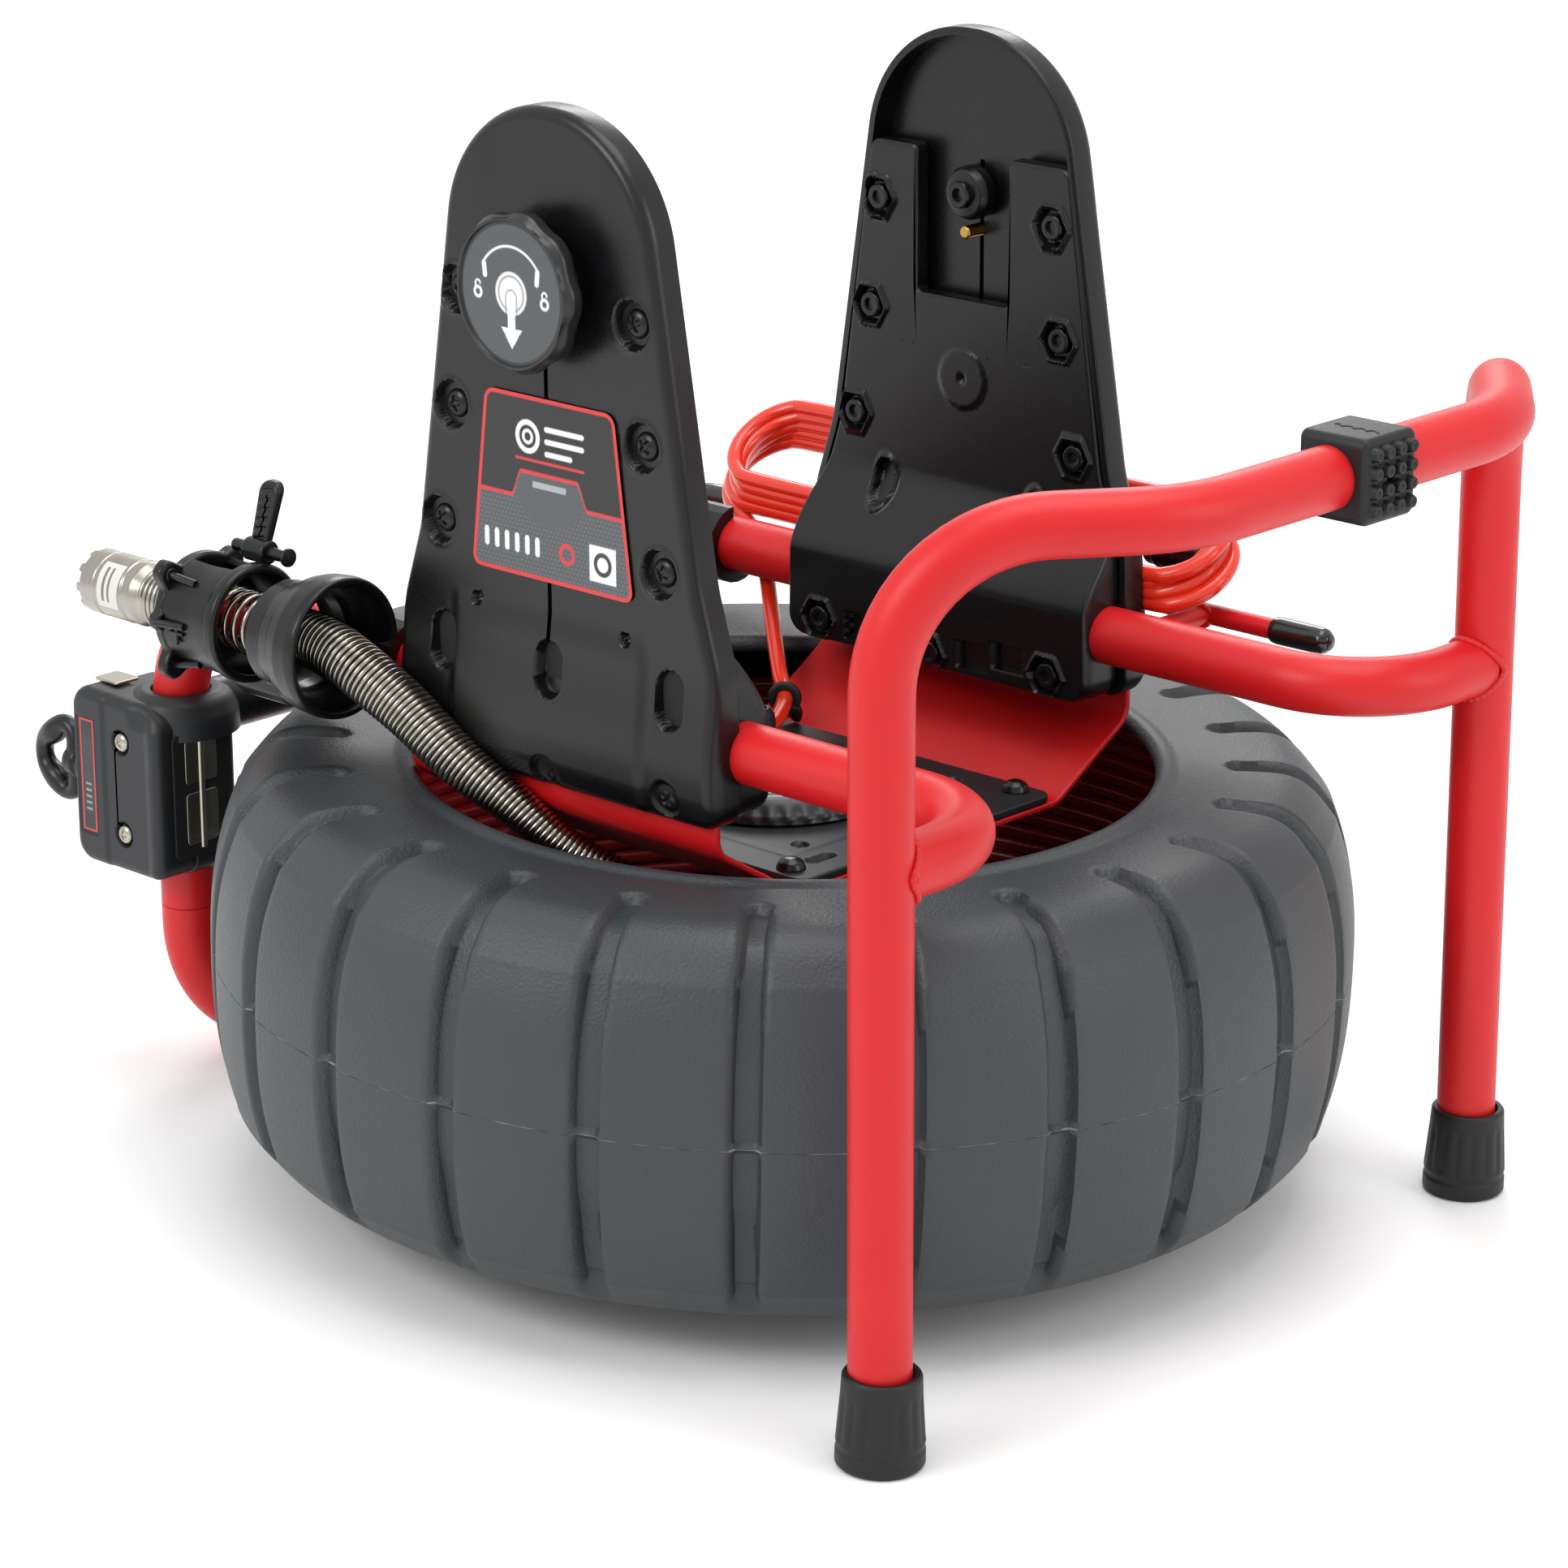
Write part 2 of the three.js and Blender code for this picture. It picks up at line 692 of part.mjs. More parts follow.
const strapPinRadius = 2.4;
{
  const band = [
    [clipBore, -clipHalf],
    [clipRadius, -clipHalf],
    [clipRadius, clipHalf],
    [clipBore, clipHalf],
  ];
  const ring = ringAlongX(band, clipX, guideZ, 32);
  const saddleLow = [clipX - 20, -railY - tubeRadius - 9, railZ - 27];
  const saddle = toSolid(box(saddleLow, [clipX + 12, -railY + tubeRadius + 4, railZ + 5]));
  const ear = toSolid(box([clipX - 5, strapPinY - 5, guideZ + 17], [clipX, strapPinY + 4, strapPinZ + 5]));
  const pinHole = alongX(rod(strapPinRadius + clearance, -20, 20, 12));
  pinHole.translate(clipX, strapPinY, strapPinZ);
  const railHole = alongX(rod(tubeRadius + clearance, clipX - 40, clipX + 40, tubeSides * 2));
  railHole.translate(0, -railY, railZ);
  const mouth = toSolid(box([clipX - 40, -railY - 2, railZ], [clipX + 40, -railY + 30, railZ + 20]));
  const throat = alongX(rod(clipBore, -30, 30, 32));
  throat.translate(clipX, guideY, guideZ);
  const solid = join(ring, saddle, ear);
  place(
    frameGroup,
    "camera_clip",
    toGeometry(cut(solid, toSolid(throat), toSolid(pinHole), toSolid(railHole), mouth)),
    blackPlastic(),
  );
}
{
  const pin = alongX(rod(strapPinRadius, clipX - 7, clipX + 24, 12));
  pin.translate(0, strapPinY, strapPinZ);
  place(frameGroup, "clip_strap_pin", pin, blackPlastic());
}
{
  const strapX = clipX + 7;
  const half = 5.5;
  const lean = 7;
  const outline = new THREE.Shape();
  outline.moveTo(strapX - half, 0);
  outline.lineTo(strapX + half, 0);
  outline.lineTo(strapX + half + lean, 22);
  outline.lineTo(strapX - half + lean, 22);
  const tab = toSolid(slabXZ(outline, -2, 2));
  const boss = toSolid(alongX(rod(strapPinRadius + 2.4, strapX - half, strapX + half, 16)));
  const eye = toSolid(alongX(rod(strapPinRadius + clearance, strapX - 12, strapX + 12, 12)));
  const strap = place(frameGroup, "clip_strap", toGeometry(cut(join(tab, boss), eye)), rubber());
  strap.position.set(0, strapPinY, strapPinZ);
}

// ---- camera head, its flexible spring and the long tapered spring ----
const headX = -229.5;
const springStartX = funnelX - 17.6;
const springSpots = [
  [springStartX, guideY, guideZ],
  [funnelX + 5, guideY, guideZ - 0.5],
  [-84, -135.5, 210],
  [-61.5, -132, 198],
  [-38.5, -128.8, 183],
  [-17.5, -122.8, 170],
  [3, -115.7, 156.2],
  [21.5, -105.5, 146.5],
];
const headProfile = [
  [0, 0],
  [headRadius - 1, 0],
  [headRadius, 1.5],
  [headRadius, headLength - 2],
  [headRadius - 1, headLength],
  [0, headLength],
];
{
  const head = alongX(turned(headProfile, 28));
  head.translate(headX, guideY, guideZ);
  place(frameGroup, "camera_head", head, steel());
}
{
  const wire = alongX(rod(headSpringRadius, headX + headLength + clearance, springStartX - clearance, 20));
  wire.translate(0, guideY, guideZ);
  place(frameGroup, "camera_spring", wire, steel());
}

// The long spring narrows evenly from its wide end to its tail.
function taperedSweep(points, steps, startRadius, endRadius, sides) {
  const stations = smoothStations(points, steps);
  const geometry = sweep(stations, 1, sides);
  const position = geometry.getAttribute("position");
  const vertex = new THREE.Vector3();
  for (let index = 0; index < position.count; index += 1) {
    vertex.fromBufferAttribute(position, index);
    let nearest = 0;
    let best = Infinity;
    stations.forEach(({ point }, step) => {
      const gap = Math.abs(point.distanceTo(vertex) - 1);
      if (gap < best) {
        best = gap;
        nearest = step;
      }
    });
    const radius = startRadius + ((endRadius - startRadius) * nearest) / steps;
    vertex.sub(stations[nearest].point).multiplyScalar(radius).add(stations[nearest].point);
    position.setXYZ(index, vertex.x, vertex.y, vertex.z);
  }
  return geometry;
}
place(frameGroup, "push_spring", taperedSweep(springSpots, 18, springRadius, springTailRadius, 14), steel());

// ---- sensor housing clamped to the near front upright ----
const sensorZ0 = 92;
const sensorZ1 = 163;
const sensorSplitY = -108;
const sensorX = -239.5;
const sensorHalfX = 26.5;
const uprightBore = () => {
  const bore = rod(tubeRadius + 0.6, 60, 190, tubeSides * 2);
  bore.translate(frontX, -railY, 0);
  return toSolid(bore);
};
{
  const front = slabXY(roundedRect(sensorHalfX, 9, 6), sensorZ0, sensorZ1, 5);
  front.translate(sensorX, sensorSplitY - 9, 0);
  place(frameGroup, "sensor_front_shell", toGeometry(cut(toSolid(front), uprightBore())), greyPlastic());
  const rear = slabXY(roundedRect(sensorHalfX, 11.5, 6), sensorZ0, sensorZ1, 5);
  rear.translate(sensorX, sensorSplitY + clearance + 11.5, 0);
  place(frameGroup, "sensor_rear_shell", toGeometry(cut(toSolid(rear), uprightBore())), greyPlastic());
}
const sensorKnobX = sensorX - sensorHalfX - clearance;
const sensorKnobY = -117;
const sensorKnobZ = 129;
const handleZ = 154;
{
  const loop = new THREE.Shape();
  loop.absarc(0, 0, 15, 0, 2 * Math.PI, false);
  const eye = new THREE.Path();
  eye.absarc(0, 0, 8, 0, 2 * Math.PI, true);
  loop.holes.push(eye);
  const plate = slabXZ(loop, -3.5, 3.5, 10);
  plate.scale(1, 1, 1.25);
  plate.translate(sensorKnobX - 18, sensorKnobY, sensorKnobZ);
  const stem = alongX(rod(8, sensorKnobX - 9, sensorKnobX, 18));
  stem.translate(0, sensorKnobY, sensorKnobZ);
  place(frameGroup, "sensor_clamp_knob", toGeometry(join(toSolid(plate), toSolid(stem))), greyPlastic());
}

// ---- black-sleeved handle bar between the front uprights ----
{
  const bar = alongY(rod(tubeRadius, sensorSplitY + clearance + 23.4, railY - tubeRadius + 4, tubeSides));
  bar.translate(frontX, 0, handleZ);
  const post = rod(tubeRadius + clearance, 60, 190, tubeSides * 2);
  post.translate(frontX, railY, 0);
  place(frameGroup, "front_handle_bar", toGeometry(cut(toSolid(bar), toSolid(post))), rubber());
}

// ---- cable wrap: a rod on two posts behind the far rail ----
{
  const bar = alongX(rod(rodRadius, rodShift - rodHalfSpan, rodShift + rodHalfSpan, 14));
  bar.translate(0, rodY, rodZ);
  let wrap = toSolid(bar);
  for (const x of postX) {
    const post = alongY(rod(rodRadius, railY + tubeRadius + clearance, rodY, 14));
    post.translate(x, 0, rodZ);
    wrap = join(wrap, toSolid(post));
  }
  place(frameGroup, "cable_wrap_rod", toGeometry(wrap), redPaint());
  for (const [side, name] of [[-1, "rod_cap_front"], [1, "rod_cap_rear"]]) {
    const mouth = -capLength + 8.5;
    const profile = [
      [0, clearance],
      [rodRadius + clearance, clearance],
      [rodRadius + clearance, mouth],
      [capRadius, mouth],
      [capRadius, 2],
      [capRadius - 1.5, 3.5],
      [0, 3.5],
    ];
    const cap = alongX(turned(profile, 16));
    if (side < 0) cap.rotateZ(Math.PI);
    cap.translate(rodShift + side * rodHalfSpan, rodY, rodZ);
    place(frameGroup, name, cap, rubber());
  }
}

// ---- system cable: a hank laid on the wrap, its strand and its plug ----
const hankX = [-160, 99];
const hankY = [armOuterY + 1.5, armOuterY + 19.5];
const hankZ = [rodZ + rodRadius + 0.6, 233];
{
  const end = (hankZ[1] - hankZ[0]) / 2;
  const outline = roundedRect((hankX[1] - hankX[0]) / 2, end, end);
  const hank = slabXZ(outline, hankY[0], hankY[1], 8);
  hank.translate((hankX[0] + hankX[1]) / 2, 0, (hankZ[0] + hankZ[1]) / 2);
  place(frameGroup, "system_cable_hank", hank, cableRed());
}
const strandPoints = [
  [-128, 129, hankZ[0] - clearance],
  [-128, 129, 204],
  [-122, 125, 195],
  [-112, 116, 187.5],
  [-105, 102, 185],
  [-92, 90, 178],
  [-76, 78, 164],
  [-54, 62, 157],
  [-34, 36, 160],
  [-22, 18, 164],
  [-14, 5, 165.5],
];
place(frameGroup, "system_cable", cordTube(strandPoints, 24, systemCableDiameter, 10), cableRed());
{
  const block = toSolid(box([-60, 60, plateZ + plateThickness + clearance], [-50, 70, 164]));
  const bore = toSolid(cordTube(strandPoints, 24, systemCableDiameter + 2 * clearance, 10));
  place(frameGroup, "system_cable_clip", toGeometry(cut(block, bore)), blackPlastic());
}
{
  const profile = [
    [0, 0],
    [8.5, 0],
    [8.5, 5],
    [7.2, 8],
    [9, 12],
    [9, 37],
    [7, 37],
    [7, 24],
    [0, 24],
  ];
  const plug = alongX(turned(profile, 20));
  plug.translate(54, hankY[1] + clearance + 9, 227.5);
  place(frameGroup, "system_cable_plug", plug, blackPlastic());
}

// ---- drum, level about its own axis ----
const sideSteps = 5;
const sideSplit = clearance / 2;
const sidePower = 2.5;

// Distance from the axis at a height: full at the middle, drawn in towards the shoulder.
const sideLine = (endZ, draw, inset) =>
  Array.from({ length: sideSteps + 1 }, (_, index) => {
    const along = index / sideSteps;
    const startZ = drumMidZ + Math.sign(endZ - drumMidZ) * sideSplit;
    const z = startZ + (endZ - startZ) * along;
    return [drumRadius - inset - draw * along ** sidePower, z];
  });

{
  const outer = sideLine(shoulderZ, sideDraw, 0);
  const inner = sideLine(shoulderZ - drumWall, sideDraw, drumWall).reverse();
  const profile = [
    ...outer,
    [190, drumTopZ - 0.6],
    [178, drumTopZ],
    [160, drumTopZ - 0.6],
    [lipRadius + beadRadius, drumTopZ - 1],
    [lipRadius, drumTopZ - 1 - beadRadius],
    [lipRadius + 1, drumTopZ - 1 - 2 * beadRadius],
    [lipRadius + 2 * beadRadius, drumTopZ - 1 - 2 * beadRadius],
    [160, drumTopZ - drumWall - 0.6],
    [188, drumTopZ - drumWall - 0.6],
    ...inner,
  ];
  place(drumGroup, "drum_upper_shell", turnedRing(profile, 44), drumGrey());
}
const bearingOuter = axleRadius + clearance + bearingWall;
const seatRadius = bearingOuter + clearance;
const floorTop = drumBottomZ + drumWall;
{
  const outer = sideLine(drumBottomZ + 3, bottomDraw, 0).reverse();
  const inner = sideLine(floorTop + 3, bottomDraw, drumWall);
  const profile = [
    [seatRadius, drumBottomZ],
    [drumRadius - bottomDraw - 6, drumBottomZ],
    ...outer,
    ...inner,
    [drumRadius - bottomDraw - drumWall - 6, floorTop],
    [seatRadius, floorTop],
  ];
  place(drumGroup, "drum_lower_shell", turnedRing(profile, 44), drumGrey());
}

// The hub stands on the floor and holds a bearing at each end.
const hubFoot = floorTop + clearance;
const hubTop = 126;
const hubBore = axleRadius + 3;
const hubWall = seatRadius + 5;
const lowerBearingZ = drumBottomZ + clearance;
const upperBearingZ = hubTop - bearingHeight - clearance;
{
  const profile = [
    [seatRadius, hubFoot],
    [60, hubFoot],
    [60, hubFoot + 4],
    [hubWall + 8, hubFoot + 9],
    [hubWall, hubFoot + 22],
    [hubWall, hubTop],
    [seatRadius, hubTop],
    [seatRadius, upperBearingZ - clearance],
    [hubBore, upperBearingZ - clearance],
    [hubBore, lowerBearingZ + bearingHeight + clearance],
    [seatRadius, lowerBearingZ + bearingHeight + clearance],
  ];
  place(drumGroup, "drum_hub", turnedRing(profile, 32), greyPlastic());
}
for (const [z, name] of [[lowerBearingZ, "lower_hub_bearing"], [upperBearingZ, "upper_hub_bearing"]]) {
  const profile = [
    [axleRadius + clearance, z],
    [bearingOuter, z],
    [bearingOuter, z + bearingHeight],
    [axleRadius + clearance, z + bearingHeight],
  ];
  place(drumGroup, name, turnedRing(profile, 28), steel());
}
const nutHeight = 9;
const nutTop = drumBottomZ - clearance;
const axleTop = 141.4;
{
  const collarZ = upperBearingZ + bearingHeight + clearance;
  const profile = [
    [0, nutTop - nutHeight - 2],
    [axleRadius - 1, nutTop - nutHeight - 2],
    [axleRadius, nutTop - nutHeight - 1],
    [axleRadius, collarZ],
    [axleRadius + 3, collarZ],
    [axleRadius + 3, axleTop - 5],
    [axleRadius + 10, axleTop - 5],
    [axleRadius + 10, axleTop],
    [0, axleTop],
  ];
  place(drumGroup, "hub_axle", turned(profile, 28), steel());
}
{
  const nut = toSolid(rod(19, nutTop - nutHeight, nutTop, 6));
  const thread = toSolid(rod(axleRadius + clearance, nutTop - nutHeight - 5, nutTop + 5, 28));
  place(drumGroup, "axle_nut", toGeometry(cut(nut, thread)), steel());
}

// ---- push cable wound against the side wall ----
const coilInner = coilOuter - coilLayers * (pushCableDiameter + 0.5);
const coilTop = coilFloorZ + coilTurnsHigh * pushCableDiameter;
{
  const profile = [
    [coilInner, coilFloorZ],
    [coilOuter - 8, coilFloorZ],
    [coilOuter, coilFloorZ + 14],
    [coilOuter, coilTop - 14],
    [coilOuter - 4, coilTop],
    [coilInner, coilTop],
  ];
  place(drumGroup, "push_cable_coil", turnedRing(profile, 44), cableMaroon());
}

export default machine;
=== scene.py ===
import math

import bmesh
import bpy
import numpy as np
from mathutils import Matrix, Vector


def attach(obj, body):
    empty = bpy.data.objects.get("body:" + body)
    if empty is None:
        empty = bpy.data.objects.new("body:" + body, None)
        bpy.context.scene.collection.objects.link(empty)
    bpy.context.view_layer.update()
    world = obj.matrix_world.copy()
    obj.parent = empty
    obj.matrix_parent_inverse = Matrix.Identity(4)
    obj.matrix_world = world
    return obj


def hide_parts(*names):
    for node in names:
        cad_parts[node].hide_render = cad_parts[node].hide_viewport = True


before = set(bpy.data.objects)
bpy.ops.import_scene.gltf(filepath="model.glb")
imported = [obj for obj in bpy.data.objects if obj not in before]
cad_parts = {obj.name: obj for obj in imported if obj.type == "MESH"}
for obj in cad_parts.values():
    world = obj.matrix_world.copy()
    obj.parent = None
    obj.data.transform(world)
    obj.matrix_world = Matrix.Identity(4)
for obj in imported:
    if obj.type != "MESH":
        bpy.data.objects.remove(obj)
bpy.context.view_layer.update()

millimetre = 0.001
rakeAngle = math.radians(1.8)


# Shapes: everything below works in millimetres, x forward-back, y across, z up.


def raked(points):
    p = np.asarray(points, float)
    c, s = math.cos(rakeAngle), math.sin(rakeAngle)
    return np.stack([p[..., 0] * c - p[..., 2] * s, p[..., 1], p[..., 0] * s + p[..., 2] * c], -1)


def unit(v):
    return v / np.maximum(np.linalg.norm(v, axis=-1, keepdims=True), 1e-12)


def smoothStep(low, high, x):
    t = np.clip((x - low) / (high - low), 0, 1)
    return t * t * (3 - 2 * t)


def gridFaces(rows, cols, closeRows=False, closeCols=True):
    i = np.arange(rows if closeRows else rows - 1)
    j = np.arange(cols if closeCols else cols - 1)
    a, b = np.meshgrid(i, j, indexing="ij")
    a2, b2 = (a + 1) % rows, (b + 1) % cols
    return np.stack([a * cols + b, a2 * cols + b, a2 * cols + b2, a * cols + b2], -1).reshape(-1, 4)


def joined(parts):
    verts, faces, count = [], [], 0
    for v, f in parts:
        verts.append(np.asarray(v, float).reshape(-1, 3))
        faces += [[i + count for i in face] for face in (f if isinstance(f, list) else f.tolist())]
        count += len(verts[-1])
    return np.concatenate(verts), faces


def addPiece(name, verts, faces, material, body="frame", stands=(), smooth=38, ink=None):
    verts = np.asarray(verts, float).reshape(-1, 3)
    faces = faces if isinstance(faces, list) else faces.tolist()
    mesh = bpy.data.meshes.new(name)
    mesh.from_pydata((verts * millimetre).tolist(), [], faces)
    if ink is not None:
        colours = mesh.color_attributes.new("ink", "FLOAT_COLOR", "POINT")
        rgba = np.ones((len(verts), 4), np.float32)
        rgba[:, :3] = ink
        colours.data.foreach_set("color", rgba.ravel())
    work = bmesh.new()
    work.from_mesh(mesh)
    bmesh.ops.remove_doubles(work, verts=work.verts, dist=1e-6)
    bmesh.ops.dissolve_degenerate(work, edges=work.edges, dist=1e-7)
    bmesh.ops.recalc_face_normals(work, faces=work.faces)
    work.to_mesh(mesh)
    work.free()
    mesh.materials.append(material)
    made = bpy.data.objects.new(name, mesh)
    bpy.context.scene.collection.objects.link(made)
    mesh.polygons.foreach_set("use_smooth", np.ones(len(mesh.polygons), bool))
    mesh.set_sharp_from_angle(angle=math.radians(smooth))
    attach(made, body)
    if stands:
        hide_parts(*stands)
    return made


# A line of corners with each corner rounded: straight runs joined by arcs tangent to both.
def filleted(corners, radii, step=3.0, closed=False, arcStep=0.12):
    p = np.asarray(corners, float)
    n = len(p)
    out = []
    for i in range(n):
        if not closed and i in (0, n - 1):
            out.append(p[i][None])
            continue
        a, b, c = p[i - 1], p[i], p[(i + 1) % n]
        u, w = unit(a - b), unit(c - b)
        turn = math.pi - math.acos(float(np.clip(u @ w, -1, 1)))
        r = radii[i]
        if r <= 0 or turn < 1e-4:
            out.append(b[None])
            continue
        reach = r * math.tan(turn / 2)
        centre = b + unit(u + w) * r / math.cos(turn / 2)
        start, end = b + u * reach - centre, b + w * reach - centre
        k = max(3, int(turn / arcStep) + 2)
        t = np.linspace(0, turn, k)[:, None]
        side = unit(end - start * math.cos(turn))
        out.append(centre + start * np.cos(t) + side * r * np.sin(t))
    line = np.concatenate(out)
    if closed:
        line = np.concatenate([line, line[:1]])
    keep = np.r_[True, np.linalg.norm(np.diff(line, axis=0), axis=1) > 1e-6]
    line = line[keep]
    lengths = np.r_[0, np.cumsum(np.linalg.norm(np.diff(line, axis=0), axis=1))]
    count = max(4, int(round(lengths[-1] / step)))
    even = np.linspace(0, lengths[-1], count + 1)
    made = np.stack([np.interp(even, lengths, line[:, k]) for k in range(p.shape[1])], -1)
    return made[:-1] if closed else made


# A smooth curve through points: Catmull-Rom, resampled to even steps.
def smoothPath(points, step):
    p = np.asarray(points, float)
    p = np.concatenate([2 * p[:1] - p[1:2], p, 2 * p[-1:] - p[-2:-1]])
    t = np.linspace(0, 1, 24, endpoint=False)[None, :, None]
    a, b, c, d = (p[i : len(p) - 3 + i, None] for i in range(4))
    line = 0.5 * (2 * b + (c - a) * t + (2 * a - 5 * b + 4 * c - d) * t**2 + (3 * b - a - 3 * c + d) * t**3)
    line = np.concatenate([line.reshape(-1, p.shape[1]), p[-2:-1]])
    lengths = np.r_[0, np.cumsum(np.linalg.norm(np.diff(line, axis=0), axis=1))]
    even = np.linspace(0, lengths[-1], max(3, int(lengths[-1] / step)) + 1)
    return np.stack([np.interp(even, lengths, line[:, k]) for k in range(p.shape[1])], -1)


def framesOf(path, reference, closed=False):
    if closed:
        along = unit(np.roll(path, -1, 0) - np.roll(path, 1, 0))
    else:
        along = unit(np.gradient(path, axis=0))
    side = unit(np.cross(along, np.asarray(reference, float)))
    return along, side, np.cross(side, along)


# A round tube: p(s, a) = path(s) + r(s) * (cos a * side(s) + sin a * up(s)).
def tube(path, radius, sides=32, reference=(0, 0, 1), closed=False, caps=True, squash=(1, 1)):
    path = np.asarray(path, float)
    side, up = framesOf(path, reference, closed)[1:]
    a = np.linspace(0, 2 * math.pi, sides, endpoint=False)
    r = np.broadcast_to(np.asarray(radius, float), (len(path),))[:, None, None]
    ring = np.cos(a)[None, :, None] * side[:, None] * squash[0] + np.sin(a)[None, :, None] * up[:, None] * squash[1]
    verts = path[:, None] + r * ring
    faces = gridFaces(len(path), sides, closed).tolist()
    if caps and not closed:
        last = (len(path) - 1) * sides
        faces.append(list(range(sides)))
        faces.append(list(range(last, last + sides)))
    return verts.reshape(-1, 3), faces


# A turned shape: p(t, a) = centre + axis * h(t) + r(t, a) * (cos a * u + sin a * v).
def turned(profile, centre, axis="z", sides=96, wave=None):
    prof = np.asarray(profile, float)
    a = np.linspace(0, 2 * math.pi, sides, endpoint=False)
    r = prof[:, 0][:, None] * np.ones(sides)
    h = prof[:, 1][:, None] * np.ones(sides)
    if wave is not None:
        r, h = wave(r, h, a[None, :])
    u, v = r * np.cos(a), r * np.sin(a)
    order = {"x": (h, u, v), "y": (v, h, u), "z": (u, v, h)}[axis]
    verts = np.stack(order, -1) + np.asarray(centre, float)
    return verts.reshape(-1, 3), gridFaces(len(prof), sides)


# A plate cut to an outline, with eased edges and a carved face:
# p(k, s) = outline(s) drawn in by inset(k) or towards the spine, its depth from the face drop(k) + carve(x, z).
def reliefPlate(
    outline, spine, face, thickness, towards, carve=None, edge=2.0, back=1.0, rings=60, backRings=3,
    heart=None, rim=None,
):
    outline = np.asarray(outline, float)
    tangent = unit(np.roll(outline, -1, 0) - np.roll(outline, 1, 0))
    normal = np.stack([-tangent[:, 1], tangent[:, 0]], -1)
    centre = outline.mean(0)
    if np.sum(normal * (centre - outline)) < 0:
        normal = -normal
    core = np.stack(
        [np.clip(outline[:, 0], spine[0], spine[1]), np.clip(outline[:, 1], spine[2], spine[3])], -1,
    )
    low, high = (spine[0], spine[2]), (spine[1], spine[3])
    if heart is not None:
        low, high = (heart[0], heart[2]), (heart[1], heart[3])
    middle = np.clip(core, np.array(low), np.array(high))
    q = np.linspace(0, math.pi / 2, 7)
    frontEdge = outline + normal * edge
    backEdge = outline + normal * back
    rows, drops = [], []
    if heart is not None:
        for t in np.linspace(0, 1, rings // 2, endpoint=False):
            rows.append(middle + (core - middle) * t)
            drops.append(0.0)
    for t in np.linspace(0, 1, rings):
        rows.append(core + (frontEdge - core) * t)
        drops.append(0.0)
    for t in q[1:]:
        rows.append(outline + normal * edge * (1 - math.sin(t)))
        drops.append(edge * (1 - math.cos(t)))
    for t in q[:-1]:
        rows.append(outline + normal * back * (1 - math.cos(t)))
        drops.append(thickness - back * (1 - math.sin(t)))
    if rim is not None:
        lip = outline + normal * rim[0]
        for t in (0.0, 0.15, 0.85, 1.0):
            rows.append(lip + normal * t * 0.6)
            drops.append(thickness - rim[1] * t)
        backEdge, thickness = lip + normal * 0.6, thickness - rim[1]
    for t in np.linspace(0, 1, backRings):
        rows.append(backEdge + (core - backEdge) * t)
        drops.append(thickness)
    if heart is not None:
        rows.append(middle)
        drops.append(thickness)
        backRings += 1
    flat = np.stack(rows)
    depth = np.array(drops)[:, None] * np.ones(len(outline))
    if carve is not None:
        carved = carve(flat[..., 0], flat[..., 1])
        fade = np.clip(1 - depth / thickness, 0, 1)
        fade[-backRings:] = 0
        depth = depth + carved * fade
    verts = np.stack([flat[..., 0], face - towards * depth, flat[..., 1]], -1)
    return verts.reshape(-1, 3), gridFaces(len(rows), len(outline))


def roundPit(x, z, at, radius, depth, ease=0.8):
    d = np.hypot(x - at[0], z - at[1])
    return depth * (1 - smoothStep(radius - ease, radius + ease, d))


def ovalPit(x, z, at, half, depth, ease=0.8):
    dz = np.maximum(np.abs(z - at[1]) - (half[1] - half[0]), 0)
    return depth * (1 - smoothStep(half[0] - ease, half[0] + ease, np.hypot(x - at[0], dz)))


def hexDistance(x, z):
    return np.maximum(np.abs(z) * 0.5 + np.abs(x) * 0.866, np.abs(z))


# Finishes.


def linear(code):
    values = [int(code[i : i + 2], 16) / 255 for i in (1, 3, 5)]
    return tuple(v / 12.92 if v <= 0.04045 else ((v + 0.055) / 1.055) ** 2.4 for v in values) + (1.0,)


def addNode(tree, kind, inputs=None, **settings):
    made = tree.nodes.new(kind)
    for key, value in settings.items():
        setattr(made, key, value)
    for key, value in (inputs or {}).items():
        socket = made.inputs[key]
        if isinstance(value, bpy.types.NodeSocket):
            tree.links.new(value, socket)
        else:
            socket.default_value = value
    return made


def newMaterial(name):
    made = bpy.data.materials.new(name)
    made.use_nodes = True
    tree = made.node_tree
    tree.nodes.clear()
    shader = addNode(tree, "ShaderNodeBsdfPrincipled")
    addNode(tree, "ShaderNodeOutputMaterial", {"Surface": shader.outputs[0]})
    place = addNode(tree, "ShaderNodeTexCoord").outputs["Object"]
    return made, tree, shader, place


